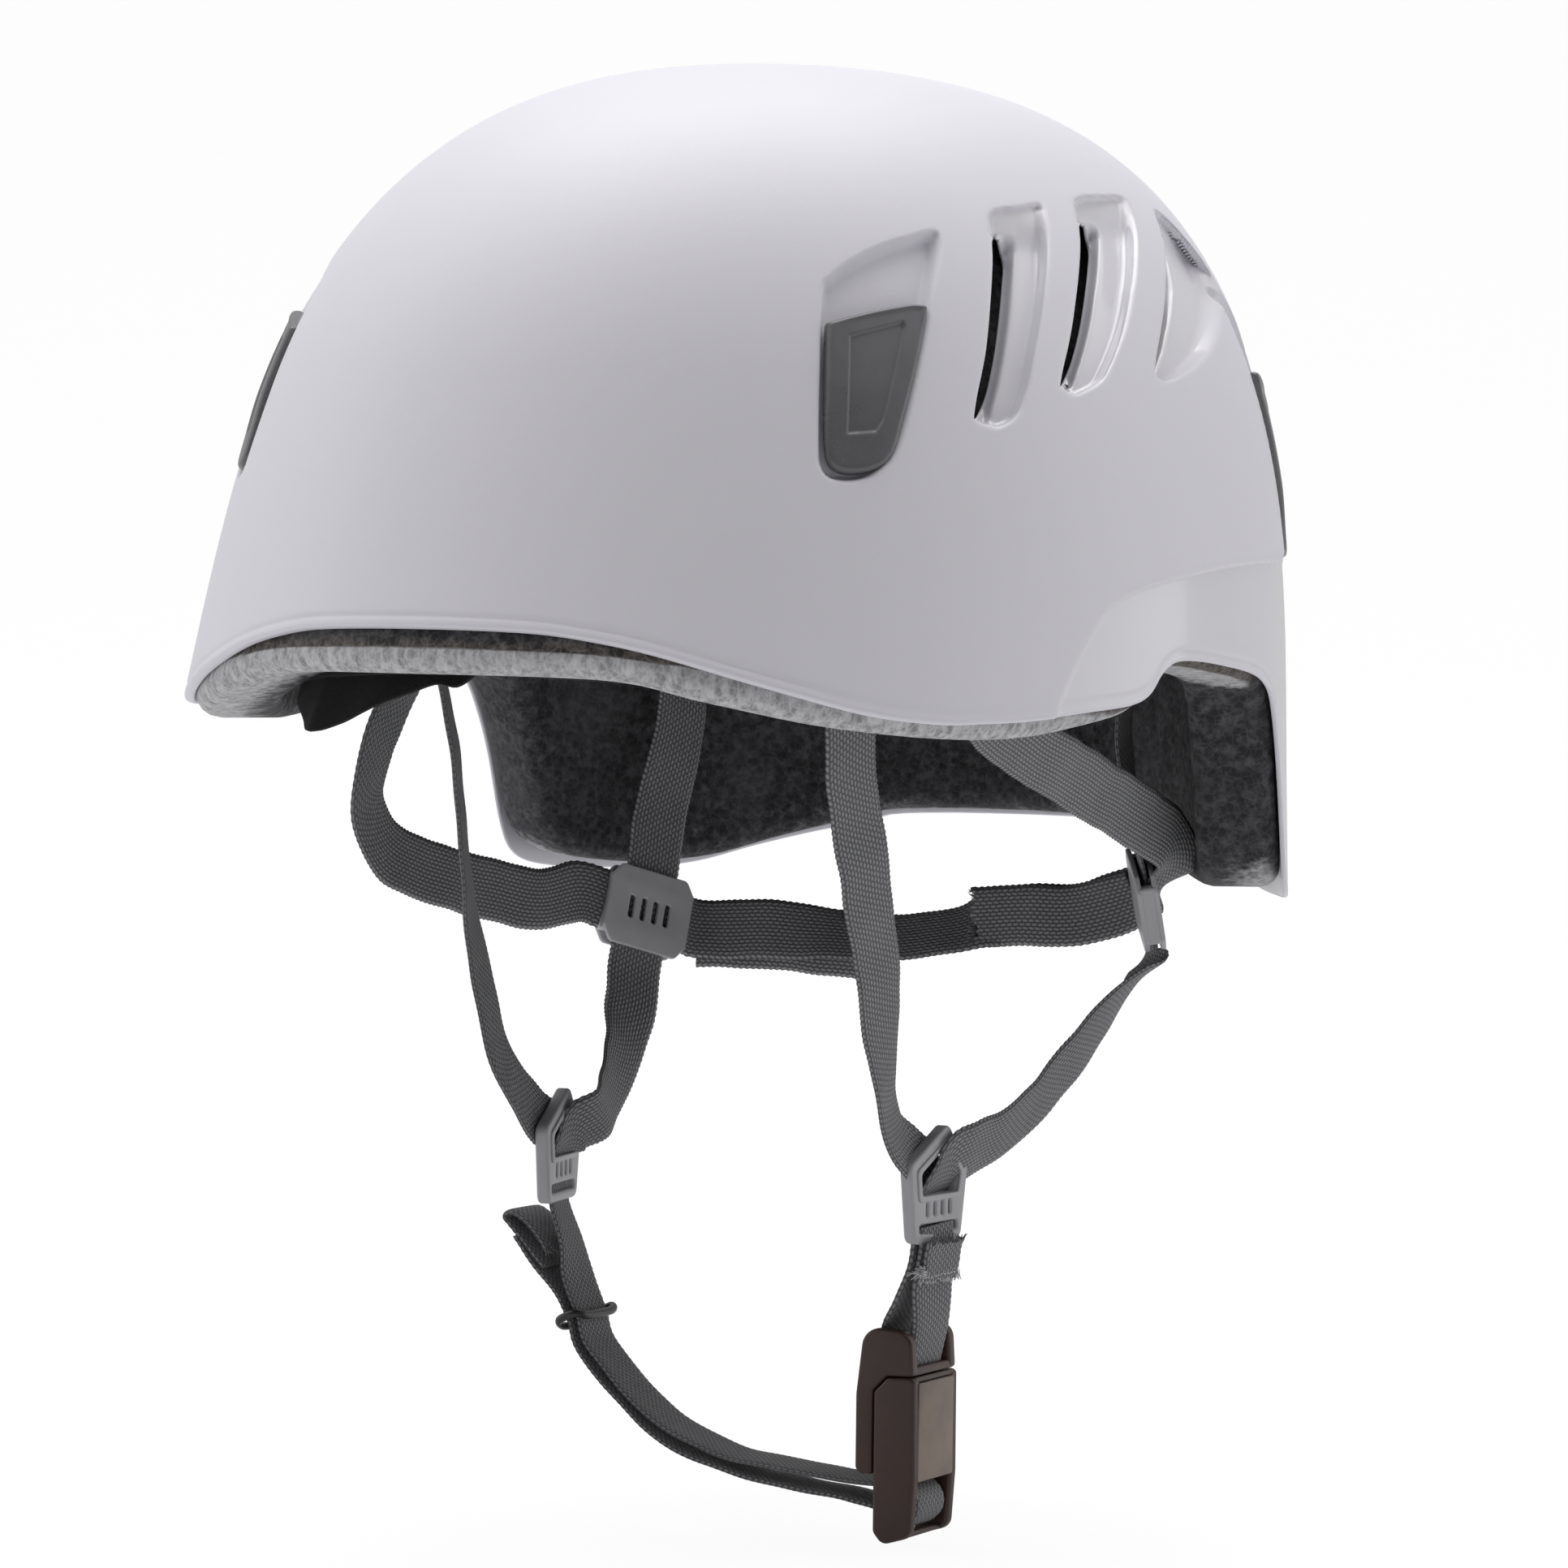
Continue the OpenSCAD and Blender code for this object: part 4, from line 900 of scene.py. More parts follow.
LEFT_BAND = [[[81, -62, 16], SQUARE], [[79, -44, 8.6], SQUARE], [[77, -27, 2.8], SQUARE],
             [[76.4, 8, -7.4], SQUARE], [[75.4, 38, -15.4], SQUARE], [[74.4, 58, -20.8], [0.36, 0.36, 0.86]],
             [[73.8, 67.6, -24.4], [0.2, 0.62, 0.72]], [[72.2, 73.4, -29], [0.5, 0.8, 0.4]],
             [[69.4, 77.4, -33.6], [0.6, 0.7, 0.4]], [L_AT + 4.2 * L_SIDE + 2.5 * L_UP - [-3, 0, 0], L_UP]]
RIGHT_BAND = [[[-72, -34, 20], [0, -1, 0.1]], [[-77.4, -37, 7], [0, -1, 0.1]], [[-80, -41, -4], [0, -1, 0]],
              [[-83, -40, -17], [0, -1, -0.4]], [[-85, -29, -28], [0, -1, -1.3]],
              [[-84, -14, -33.8], [0, -0.4, -1]], [[-80, 9, -39], [0, -0.2, -1]],
              [[-76, 26, -42], [0, -0.2, -1]], [R_AT - 20 * R_SIDE, -R_UP],
              [R_AT - 12 * R_SIDE, -R_UP]]
RING_AT, RING_LEAN = np.array([-43.9, -2, -138.4]), math.radians(-26)
RING_UP = np.array([math.sin(RING_LEAN), 0, math.cos(RING_LEAN)])
RING_OUT = np.array([math.cos(RING_LEAN), 0, -math.sin(RING_LEAN)])
# The chin strap turns round the bar in the buckle's front half
BAR = np.array([41.0, 2.2, -175.4])
YW = [0, 1, 0]
CHIN = [[[-53, -1.8, -106.6], [-0.24, 0.97, 0]], [[-51.8, -1.8, -112], [-0.24, 0.97, 0]],
        [[-49, -1.7, -121], [-0.16, 0.98, 0]],
        [RING_AT + 1.5 * RING_OUT + 9 * RING_UP, YW], [RING_AT + 1.3 * RING_OUT, YW],
        [RING_AT + 1.2 * RING_OUT - 9 * RING_UP, YW], [[-22.4, -1, -160.8], YW],
        [[-5, 0, -167.8], YW], [[12, 1, -169.8], YW], [[25, 2, -170.8], YW], [[34, 2.2, -171.4], YW]]
TURN_R = 4.6
CHIN += [[BAR + TURN_R * np.array([math.sin(t), 0, math.cos(t)]), YW]
         for t in np.radians([0, 35, 70, 105, 140, 175])]
CHIN += [[[35.4, 2.2, -176.6], YW], [[27, 2, -175.4], YW], [[12, 1, -173.8], YW],
         [[-6, 0, -170.6], YW], [[-24, -1, -163.4], YW], [RING_AT - 1.6 * RING_OUT - 9 * RING_UP, YW],
         [RING_AT - 1.2 * RING_OUT, YW], [RING_AT - 1.9 * RING_OUT + 8 * RING_UP, YW],
         [[-54.4, -2.6, -126], YW], [[-60, -3, -119.8], YW]]
TAIL_FOLD = [[[-52, -2.6, -126.6], YW], [[-56.6, -2.8, -122], YW], [[-61, -3, -117.2], YW],
             [[-62.4, -3, -115.4], YW], [[-60.6, -3, -114.2], YW], [[-56.6, -3, -116], YW],
             [[-53, -3, -119.4], YW], [[-51, -3, -122.6], YW]]
LEVEL = [0.12, 1, 0]
TAB_FRONT = [[[47.6, -1.6, -110.6], LEVEL], [[48, -1.3, -116], LEVEL], [[46.8, -0.8, -124.5], [0.17, 1, 0]],
             [[45.6, 1.2, -135.3], [0.12, 1, 0]], [[43, 2.1, -146], [0.02, 1, 0]]]
TAB_FLAP = [[[50.6, -1.3, -114.6], [0.16, 1, 0.03]], [[49.8, -1.2, -116.8], LEVEL],
            [[49.1, -1, -119.8], LEVEL], [[48.5, -0.9, -122.8], LEVEL]]
TAB_REAR = [[[46.4, -1.4, -108.4], YW], [[45.6, -1.4, -113], YW], [[44.4, -1.4, -120], YW],
            [[41.2, -0.8, -128], [-0.02, 1, 0]], [[37.4, 0.6, -134.4], [-0.02, 1, 0]],
            [[36.2, 1.6, -141], YW]]

# Chin webbing that is given BEND stays where it is built and rides no body
HINGE_Y, BEND = -1.4, (-107.5, -114)


def build_straps():
    for name, rows, seed in (("left_front_strap", LEFT_FRONT, 11), ("left_rear_strap", LEFT_REAR, 12),
                             ("right_front_strap", RIGHT_FRONT, 13), ("right_rear_strap", RIGHT_REAR, 14),
                             ("nape_strap", NAPE, 15), ("left_headband_strap", LEFT_BAND, 16),
                             ("right_headband_strap", RIGHT_BAND, 17)):
        ribbon(name + "_web", rows, "helmet", seed, name)
    ribbon("nape_strap_layer", NAPE_LAYER, "helmet", 21, fray=(0, 1.2))
    ribbon("nape_strap_tail", NAPE_TAIL, "helmet", 22, fray=(0, 0.8))
    ribbon("chin_strap_web", CHIN, "chin_strap", 31, "chin_strap", bend=BEND)
    ribbon("chin_strap_tail", TAIL_FOLD, "chin_strap", 32, fray=(0, 0.8))
    ribbon("chin_tab_front", TAB_FRONT, "chin_tab", 33, "chin_tab", TAB_T, bend=BEND)
    ribbon("chin_tab_flap", TAB_FLAP, "chin_tab", 34, fray=(0.9, 0.8))
    ribbon("chin_tab_rear", TAB_REAR, "chin_tab", 35, thick=TAB_T, bend=BEND)


def build_ends():
    """Frayed yarns and sewn lines at the ends of the webbing."""
    edge, left, tab = [0.12, 0.99, 0], [1, 0, 0], "chin_tab"
    fibres("tab_fray_low", tab, [48.7, -0.9, -122.2], edge, [0, 0, -1], left, 15.5, 90, 2.0, 41, STITCH)
    fibres("tab_fray_top", tab, [50.6, -1.3, -114.4], edge, [0.35, 0, 0.93], left, 15.5, 46, 1.6, 42)
    fibres("tab_fray_side", tab, [48.2, -7.6, -121.2], [0, 0, 1], [-0.2, -0.98, -0.1], left, 3, 26, 3.4,
           47, STITCH)
    stitches("tab_stitch", tab, [48.2, -8.4, -121.2], [50.2, 6.4, -120.6], [0.99, -0.12, 0], 4, 1.3, 43)
    fibres("nape_fray", "helmet", [14.6, 82.5, -45.2], [0, 0.1, 1], [-0.95, -0.2, 0], YW, 15, 46, 1.7, 44)
    fibres("tail_fray", "chin_strap", [-51, -3, -122.6], YW, [0.5, 0, -0.86], left, 15, 34, 1.6, 45)
    slanted = unit(np.array([1, 0, 1]))
    stitches("tail_stitch", "chin_strap", [-53.4, -9.8, -120], [-53.4, 4, -120], slanted, 3, 1.5, 46, FIBRE)


build_straps()
build_ends()


# ---------------------------------------------------------------- clips
def clip(name, outline, inner, mirror):
    """Tongue with a rounded edge and a pressed panel, as a grid of shrinking outlines on the dome."""
    sink, panel_depth = 0.2, 0.55
    o = closed_curve(outline, 10)
    low, high = o[:, 1].min(), o[:, 1].max()
    centre = o.mean(0)
    rings, turns = 44, len(o)
    share = (np.arange(1, rings + 1) / rings) ** 0.8
    a = centre[0] + share[:, None] * (o[:, 0] - centre[0])[None, :]
    z = centre[1] + share[:, None] * (o[:, 1] - centre[1])[None, :]
    edge = -signed_distance(a, z, o)
    press = -signed_distance(a, z, np.array(inner))
    proud = 0.9 + 0.5 * smooth(z, low + 4, low + 18)
    height = proud * (1 - (1 - np.clip(edge / 1.3, 0, 1)) ** 2.2) ** 0.6
    height -= panel_depth * smooth(press, -0.25, 0.25)
    height += 0.35 * np.exp(-((edge - 0.9) / 0.5) ** 2) * smooth(z, high - 6, high - 2)
    face = dome(a, z) + (height - sink)[..., None] * dome_normal(a, z)
    wall = dome(a[-1], z[-1]) - 1.6 * dome_normal(a[-1], z[-1])
    wall_in = dome(a[-3], z[-3]) - 1.9 * dome_normal(a[-3], z[-3])
    mid = dome(*centre) + (proud.mean() - sink - panel_depth) * dome_normal(*centre)
    back = dome(*centre) - 2.0 * dome_normal(*centre)
    pts = np.vstack([face.reshape(-1, 3), wall, wall_in, [mid], [back]])
    idx = np.arange((rings + 2) * turns).reshape(rings + 2, turns)
    nx = np.roll(idx, -1, 1)
    faces = list(np.stack([idx[:-1], idx[1:], nx[1:], nx[:-1]], -1).reshape(-1, 4))
    m = (rings + 2) * turns
    faces += list(np.stack([idx[0], nx[0], np.full(turns, m)], -1))
    faces += list(np.stack([nx[-1], idx[-1], np.full(turns, m + 1)], -1))
    if mirror:
        pts = pts * [-1, 1, 1]
        faces = [f[::-1] for f in faces]
    attach(add_mesh(name + "_tongue", pts, faces, CLIP), name, name)


PRESSED = [[43.1, 87.6], [49.0, 91], [49.2, 90], [46.7, 70.2], [45.9, 67.6], [42.9, 67]]
for where, moved in (("front", list), ("rear", to_rear)):
    for hand in ("left", "right"):
        clip(f"{where}_{hand}_clip", moved(FRONT_CLIP), moved(PRESSED), hand == "right")


# ---------------------------------------------------------------- pads
def cushion(name, front, back, node=None):
    """Closed soft piece between two sheets of points of the same shape."""
    rows, cols = front.shape[:2]
    n = rows * cols
    idx = np.arange(n).reshape(rows, cols)
    q = np.stack([idx[:-1, :-1], idx[1:, :-1], idx[1:, 1:], idx[:-1, 1:]], -1).reshape(-1, 4)
    loop = np.concatenate([idx[0, :-1], idx[:-1, -1], idx[-1, :0:-1], idx[:0:-1, 0]])
    side = np.stack([loop, np.roll(loop, -1), np.roll(loop, -1) + n, loop + n], -1)
    pts = np.vstack([front.reshape(-1, 3), back.reshape(-1, 3)])
    obj = add_mesh(name, pts, list(q) + list(q[:, ::-1] + n) + list(side), PAD)
    return attach(obj, "helmet", node)


def pad(name, a, z, thick, seams=(), node=None):
    """Padded panel on the inside of the liner: crowned, pulled in at its edge and sewn channels."""
    rows, cols = a.shape
    u, v = np.meshgrid(np.linspace(0, 1, cols), np.linspace(0, 1, rows))
    rim = np.minimum(np.minimum(u, 1 - u) * cols / rows, np.minimum(v, 1 - v)) * 2
    crown = (1 - (1 - np.clip(rim / 0.55, 0, 1)) ** 2.4) ** 0.5
    rng = np.random.default_rng(5)
    ripple = 0
    for _ in range(6):
        size, fast, slow = rng.uniform(0.1, 0.3), rng.uniform(30, 110), rng.uniform(-9, 9)
        ripple = ripple + size * np.sin(u * fast + v * slow + rng.uniform(0, 6))
    dent = sum(np.exp(-(((u - s) * 180) ** 2) / 4) for s in seams)
    puff = thick * (0.28 + 0.72 * crown) * (1 - 0.35 * dent) + ripple * crown * 0.8
    back = dome(a, z, PAD_INSET)
    obj = cushion(name, back - puff[..., None] * dome_normal(a, z, PAD_INSET), back, node)
    sub = obj.modifiers.new("soft", "SUBSURF")
    sub.levels = sub.render_levels = 1


# Pads lie against the liner's inside
PAD_INSET = 21.9
BROW_HALF, BROW_HIGH = 84, 19


def build_pads():
    u, v = np.meshgrid(np.linspace(0, 1, 150), np.linspace(0, 1, 14))
    a = -BROW_HALF + 2 * BROW_HALF * u
    low = 5.9 + 9.5 * np.cos(np.radians(a)) ** 2
    pad("brow_pad_cushion", a, low + BROW_HIGH * v, 6.4, (0.2, 0.35, 0.5, 0.65, 0.8), "brow_pad")
    brow_fold()
    u, v = np.meshgrid(np.linspace(0, 1, 26), np.linspace(0, 1, 16))
    for k in range(4):
        pad(f"crown_pad_{k + 1}", 90 * k - 14 + 28 * u, 84 + 34 * v, 5.4, node=None if k else "crown_pads")


def brow_fold():
    """Loose corner of the brow pad's cover that hangs below the brim at the right front."""
    top = 17.5
    low = curve([[-50, 14.5], [-40, 9.5], [-30, 3.4], [-24.5, 1.1], [-20, 3.4], [-15, 6.6], [-10, 10],
                 [-4.5, 12.8], [-1, 12.4], [1.5, 15.6]], 5)
    v = np.linspace(0, 1, 14)[:, None]
    a = low[:, 0] + 0 * v
    z = top + (low[:, 1] - top) * v
    crease = np.exp(-np.abs(a + 27 - 3 * v) / 4.5)
    ripple = 0.35 * np.sin(0.55 * a + 3 * v) * v
    n = dome_normal(a, z, 22)
    front = dome(a, z, 25.5) + ((0.3 + 2.6 * crease) * v + ripple)[..., None] * n
    cushion("brow_pad_fold", front, front - (1.0 + 1.2 * (1 - v) + 0 * a)[..., None] * n)


build_pads()


# ---------------------------------------------------------------- plates and buckle
def fillet(points, radius, steps=5):
    """Closed outline with its corners rounded. A radius may be given for each point."""
    p = np.asarray(points, float)
    radii = radius if isinstance(radius, (list, tuple)) else [radius] * len(p)
    out = []
    for i, q in enumerate(p):
        a, b = p[i - 1] - q, p[(i + 1) % len(p)] - q
        la, lb = np.linalg.norm(a), np.linalg.norm(b)
        a, b = a / la, b / lb
        half = math.acos(max(-1, min(1, float(a @ b)))) / 2
        r = min(radii[i], 0.45 * min(la, lb) * math.tan(half))
        if r < 1e-3 or abs(half - math.pi / 2) < 1e-3:
            out.append(q)
            continue
        start, end = q + a * r / math.tan(half), q + b * r / math.tan(half)
        centre = q + unit(a + b) * r / math.sin(half)
        t0 = math.atan2(*(start - centre)[::-1])
        t1 = math.atan2(*(end - centre)[::-1])
        turn = (t1 - t0 + math.pi) % (2 * math.pi) - math.pi
        for k in range(steps + 1):
            t = t0 + turn * k / steps
            out.append(centre + r * np.array([math.cos(t), math.sin(t)]))
    return np.array(out)


def slab(name, loops, thick, bevel, place, mat, segments, sharp=38):
    """Solid plate from outlines (the first outside, the rest holes), with rounded edges. place takes
    points of (u, v, w), w through the thickness, to the row frame. Edges over sharp degrees stay sharp."""
    data = bpy.data.curves.new(name, "CURVE")
    data.dimensions = "2D"
    data.fill_mode = "BOTH"
    data.extrude = (thick / 2 - bevel) / 10
    data.bevel_depth = bevel / 10
    data.bevel_resolution = segments
    data.offset = -bevel / 10
    for loop in loops:
        line = data.splines.new("POLY")
        line.points.add(len(loop) - 1)
        for q, point in zip(loop, line.points):
            point.co = (q[0] / 10, q[1] / 10, 0, 1)
        line.use_cyclic_u = True
    obj = bpy.data.objects.new(name, data)
    bpy.context.scene.collection.objects.link(obj)
    deps = bpy.context.evaluated_depsgraph_get()
    mesh = bpy.data.meshes.new_from_object(obj.evaluated_get(deps))
    bpy.data.objects.remove(obj)
    verts = np.zeros(len(mesh.vertices) * 3)
    mesh.vertices.foreach_get("co", verts)
    verts = place(verts.reshape(-1, 3) * 10)
    mesh.vertices.foreach_set("co", (verts * MM).ravel())
    bm = bmesh.new()
    bm.from_mesh(mesh)
    bmesh.ops.remove_doubles(bm, verts=bm.verts, dist=2e-6)
    bmesh.ops.recalc_face_normals(bm, faces=bm.faces)
    bm.to_mesh(mesh)
    bm.free()
    mesh.materials.clear()
    mesh.materials.append(mat)
    mesh.polygons.foreach_set("use_smooth", [True] * len(mesh.polygons))
    mesh.set_sharp_from_angle(angle=math.radians(sharp))
    obj = bpy.data.objects.new(name, mesh)
    bpy.context.scene.collection.objects.link(obj)
    return obj


def frame_place(at, u, v, w):
    """Takes points of (u, v, w) to the row frame."""
    at, u, v, w = (np.asarray(q, float) for q in (at, u, v, w))
    return lambda p: at + p[:, :1] * u + p[:, 1:2] * v + p[:, 2:3] * w


def upright_box(u0, v0, half_u, half_v, radius, steps=3):
    """Outline of a rounded rectangle round (u0, v0)."""
    return fillet([[u0 - half_u, v0 - half_v], [u0 + half_u, v0 - half_v], [u0 + half_u, v0 + half_v],
                   [u0 - half_u, v0 + half_v]], radius, steps)


# Both kinds of plate have four slots, at these places in a row
FOUR = (-1.5, -0.5, 0.5, 1.5)


def divider(name, at, turn):
    """Five-sided plate with a bead round its window, a row of slots and a slot for the chin webbing."""
    c, s = math.cos(math.radians(turn)), math.sin(math.radians(turn))
    place = frame_place(at, [-s, c, 0], [0, 0, 1], [c, s, 0])
    outer = fillet([[4, 13.4], [-12.8, 4.6], [-10.2, -13.6], [10.2, -13.6], [12.9, 2.8]],
                   [2.2, 2.6, 2.4, 2.4, 2.6], 6)
    window = fillet([[3.3, 8.8], [-8.6, 2.6], [-7.9, -2.6], [7.9, -2.6], [9.0, 2.0]],
                    [1.4, 1.4, 0.8, 0.8, 1.4], 4)
    slots = [upright_box(k * 3.3, -5.8, 0.55, 1.6, 0.5) for k in FOUR]
    foot = upright_box(0, -10.2, 8.3, 1.0, 0.7)
    plate = slab(name + "_plate", [outer, window, foot] + slots, 3.3, 0.75, place, HARDWARE, 4)
    attach(plate, "helmet", name)
    rim = fillet([[3.4, 10.4], [-10.2, 3.4], [-9.2, -3.9], [9.2, -3.9], [10.4, 2.2]], 1.4, 4)
    bead = slab(name + "_bead", [rim, window], 0.7, 0.25, lambda p: place(p + [0, 0, 1.75]), HARDWARE, 2)
    attach(bead, "helmet")


divider("left_divider", [47, -1.4, -101], -4)
divider("right_divider", [-52.6, -2, -98], 12)


def slider(name, at, up, side):
    """Nape slider: two faces with a channel between them, closed by a cheek at each end."""
    out = np.cross(side, up)
    slots = [upright_box(k * 3.4, 0, 0.7, 2.8, 0.6) for k in FOUR]
    outline = fillet([[-9.4, -10], [9.4, -10], [12, -6.4], [12, 6.4], [9.4, 10], [-9.4, 10], [-12, 6.4],
                      [-12, -6.4]], 1.8, 4)
    for k, (w, holes) in enumerate(((1.95, slots), (-1.95, []))):
        face = slab(f"{name}_face_{k + 1}", [outline] + holes, 1.3, 0.45,
                    frame_place(at + w * out, side, up, out), HARDWARE, 3)
        attach(face, "helmet", None if k else name)
    for k, u0 in enumerate((-10.3, 10.3)):
        cheek = slab(f"{name}_cheek_{k + 1}", [upright_box(u0, 0, 1.5, 7.4, 0.8)], 4.0, 0.2,
                     frame_place(at, side, up, out), HARDWARE, 1)
        attach(cheek, "helmet")


slider("left_nape_slider", L_AT, L_UP, L_SIDE)
slider("right_nape_slider", R_AT, R_UP, R_SIDE)

# Middle of the buckle, its width and the thickness of its cheeks, across y
BUCKLE_Y, BUCKLE_W, CHEEK = 2.2, 22.4, 3.2


def buckle_part(name, line, width, bevel, y, body, node=None):
    place = frame_place([0, y, 0], [1, 0, 0], [0, 0, 1], [0, -1, 0])
    attach(slab(name, [line], width, bevel, place, BUCKLE, 4, 30), body, node)


def buckle_body(name, side_line, bevel, cores, body, node):
    """Half of the buckle: a cheek on each side and what lies between them. Outlines are [x, z]."""
    reach = (BUCKLE_W - CHEEK) / 2
    buckle_part(name + "_near", side_line, CHEEK, bevel, BUCKLE_Y - reach, body, node)
    buckle_part(name + "_far", side_line, CHEEK, bevel, BUCKLE_Y + reach, body)
    for k, line in enumerate(cores):
        buckle_part(f"{name}_core_{k}", line, BUCKLE_W - 3, 0.2, BUCKLE_Y, body)


REAR_SIDE = fillet([[33.4, -134.4], [45.6, -135.0], [46.3, -145.2], [39.5, -145.5], [36.0, -149.0],
                    [36.0, -168.4], [31.7, -168.4], [31.6, -150]], [4.6, 3.6, 1.0, 1.2, 1.0, 1.0, 2.2, 8], 8)
REAR_CORES = [
    fillet([[32.4, -138.4], [34.6, -138.4], [35.4, -143.2], [45.9, -143.2], [46.2, -145.2], [39.5, -145.5],
            [36.0, -149.0], [36.0, -168.2], [31.8, -168.2], [31.8, -150]],
           [0.8, 0.8, 0.8, 0.5, 0.5, 0.5, 0.5, 0.8, 1.6, 6], 4),
    upright_box(39.5, -139.6, 1.1, 1.0, 0.9, 4)]
FRONT_SIDE = fillet([[36.2, -149.2], [39.6, -145.7], [46.7, -145.4], [46.9, -169], [46.0, -182.2],
                     [38.8, -184.4], [36.4, -181.6]], [1.6, 1.6, 1.2, 4, 3.0, 2.6, 2.2], 8)
ROUND = np.linspace(0, 2 * math.pi, 20, endpoint=False)
FRONT_CORES = [
    fillet([[36.2, -149.2], [39.6, -145.7], [46.4, -145.4], [46.5, -146.6], [45.5, -146.6], [45.5, -169.4],
            [36.4, -169.4]], [0.8, 1.2, 0.4, 0.2, 0.2, 0.6, 0.4], 4),
    fillet([[39, -184.1], [44.4, -182.6], [44.2, -181.3], [40.4, -181.9], [38.4, -182.6]], 0.6, 4),
    np.stack([BAR[0] + 2.0 * np.cos(ROUND), BAR[2] + 3.2 * np.sin(ROUND)], -1)]
buckle_body("buckle_rear", REAR_SIDE, 0.8, REAR_CORES, "chin_tab", "buckle_rear_half")
buckle_body("buckle_front", FRONT_SIDE, 0.9, FRONT_CORES, "chin_strap", "buckle_front_half")
PLATE_SIDE = frame_place([46.2, BUCKLE_Y, 0], YW, [0, 0, 1], [1, 0, 0])
attach(slab("face_plate", [upright_box(0, -158.2, 8.9, 11.4, 0.5)], 1.6, 0.35, PLATE_SIDE, PLATE, 3),
       "chin_strap", "buckle_face_plate")


def keeper():
    """Thin rubber ring, stretched to a rounded rectangle round the strap's two layers."""
    turns, sides, half_y, half_x, power = 72, 12, 9.3, 3.6, 0.42
    t = np.linspace(0, 2 * math.pi, turns, endpoint=False)[:, None]
    y = np.sign(np.cos(t)) * np.abs(np.cos(t)) ** power * half_y
    x = np.sign(np.sin(t)) * np.abs(np.sin(t)) ** power * half_x
    sag = 0.8 * np.cos(2 * t)
    path = RING_AT + y * np.array(YW) + x * RING_OUT + sag * RING_UP
    along = unit(np.roll(path, -1, 0) - np.roll(path, 1, 0))
    out = unit(np.cross(along, RING_UP))
    w = np.linspace(0, 2 * math.pi, sides, endpoint=False)[None, :, None]
    verts = path[:, None] + 0.78 * np.cos(w) * out[:, None] + 1.0 * np.sin(w) * RING_UP
    idx = np.arange(turns * sides).reshape(turns, sides)
    after = np.roll(idx, -1, 0)
    faces = np.stack([idx, after, np.roll(after, -1, 1), np.roll(idx, -1, 1)], -1).reshape(-1, 4)
    loop = add_mesh("keeper_loop", verts.reshape(-1, 3), faces, RING_BLACK)
    attach(loop, "keeper_ring", "keeper_ring")


keeper()

# CAD pieces that are shown as they are, with a material
for node, mat in (("strap_anchors", HARDWARE), ("hook_patches", PAD), ("rear_half_magnet", METAL),
                  ("front_half_magnet", METAL)):
    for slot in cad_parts[node].material_slots:
        slot.material = mat


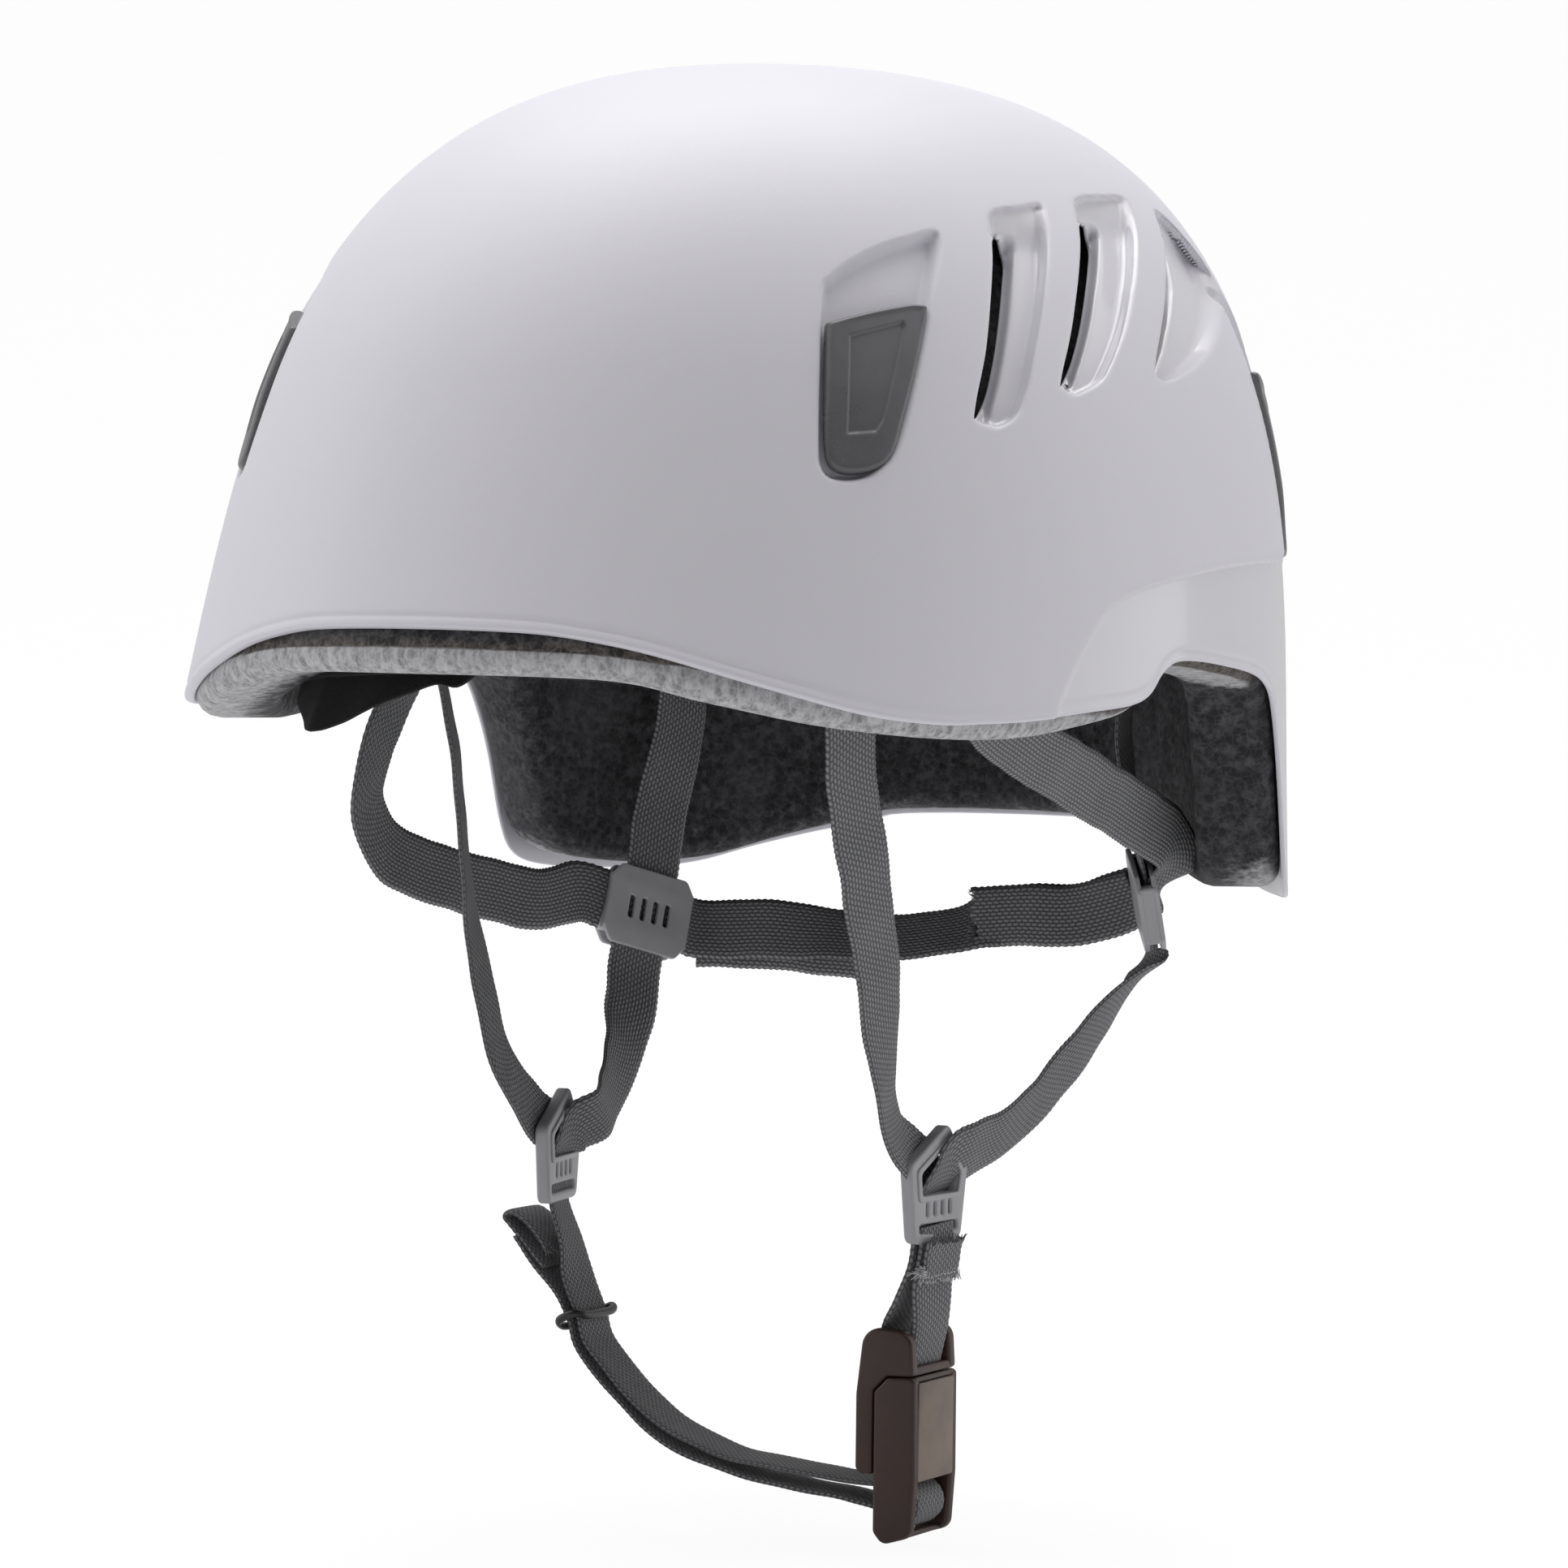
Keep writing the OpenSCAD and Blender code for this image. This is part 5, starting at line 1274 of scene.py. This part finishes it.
# ---------------------------------------------------------------- stage, lights and camera
def build_stage():
    """Floor that turns up into a wall. The camera sees it nearly white, the helmet gets less of it."""
    m = Nodes("stage_white")
    seen = m.node("ShaderNodeLightPath").outputs["Is Camera Ray"]
    lit = m.mix(m.noise(3.0, 2), (0.5, 0.5, 0.5, 1), (0.53, 0.53, 0.53, 1))
    m.finish(m.mix(seen, lit, (0.1, 0.1, 0.1, 1)), 0.9, Specular_IOR_Level=0.0, Emission_Color=(1, 1, 1, 1),
             Emission_Strength=m.ramp(seen, 0.0, 1.0, 0.24, 0.93))
    half, back_y, bend, top = 4200.0, 2600.0, 700.0, 3200.0
    floor_z = CAD_BOX[0][2] / MM - 1.0
    t = np.concatenate([[0], np.linspace(0.1, math.pi / 2, 14)])
    y = np.concatenate([[-back_y], back_y - bend + bend * np.sin(t), [back_y]])
    z = np.concatenate([[floor_z], floor_z + bend * (1 - np.cos(t)), [top]])
    turn = math.radians(28.2)
    across = np.array([math.cos(turn), math.sin(turn), 0])
    along = np.array([-math.sin(turn), math.cos(turn), 0])
    line = y[:, None] * along + z[:, None] * [0, 0, 1]
    verts = np.stack([line - half * across, line + half * across], 1).reshape(-1, 3)
    faces = [[2 * i, 2 * i + 1, 2 * i + 3, 2 * i + 2] for i in range(len(line) - 1)]
    add_mesh("floor_sweep", verts, faces, m.mat)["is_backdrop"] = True


def build_world():
    """Soft box round the helmet: dim on the camera's side, bright above and at the sides."""
    world = bpy.data.worlds.new("studio")
    bpy.context.scene.world = world
    m = Nodes("studio", world)
    direction = m.node("ShaderNodeTexCoord").outputs["Generated"]
    toward, split = m.node("ShaderNodeVectorMath", operation="DOT_PRODUCT"), m.node("ShaderNodeSeparateXYZ")
    m.link(direction, toward.inputs[0])
    m.link(direction, split.inputs[0])
    toward.inputs[1].default_value = unit(VIEW_BACK + [0.12, 0.06, 0])
    sides = m.ramp(toward.outputs["Value"], -0.35, 0.65, 1.32, 0.1)
    above = m.ramp(split.outputs[2], 0.4, 0.95, 0.0, 0.45)
    # The camera itself sees plain white where the floor ends
    seen = m.node("ShaderNodeLightPath").outputs["Is Camera Ray"]
    background = m.tree.nodes["Background"]
    background.inputs[0].default_value = (1, 1, 1, 1)
    m.link(m.ramp(seen, 0, 1, m.math("ADD", sides, above), 1.0), background.inputs[1])


def area_light(name, place, target, size, power):
    data = bpy.data.lights.new(name, "AREA")
    data.shape = "RECTANGLE"
    data.size, data.size_y = size
    data.energy = power
    obj = bpy.data.objects.new(name, data)
    bpy.context.scene.collection.objects.link(obj)
    obj.location = place
    obj.rotation_euler = (Vector(target) - Vector(place)).to_track_quat("-Z", "Y").to_euler()


def build_camera():
    """Long lens at the photo's angle."""
    frame_px, focal_px, sensor_mm = 1932, 7055.28, 36
    back = Vector(VIEW_BACK).normalized()
    right = Vector((0.8808, 0.4732, 0.0164))
    right = (right - right.dot(back) * back).normalized()
    up = back.cross(right)
    data = bpy.data.cameras.new("camera")
    data.sensor_width = sensor_mm
    data.lens = focal_px / frame_px * sensor_mm
    data.clip_start, data.clip_end = 0.05, 50
    obj = bpy.data.objects.new("camera", data)
    bpy.context.scene.collection.objects.link(obj)
    obj.matrix_world = Matrix.Translation(Vector((634.12, -1171.24, 34.5)) * MM) @ Matrix(
        (right, up, back)).transposed().to_4x4()
    bpy.context.scene.camera = obj


build_stage()
build_world()
area_light("softbox", (-0.33, 0.6, 1.95), (0, 0, 0.05), (1.6, 1.6), 18.5)
build_camera()
bpy.context.scene.view_settings.view_transform = "Standard"
boxes = {"cad": CAD_BOX, "visual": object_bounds()}
boxes = {key: [list(map(float, corner)) for corner in box] for key, box in boxes.items()}
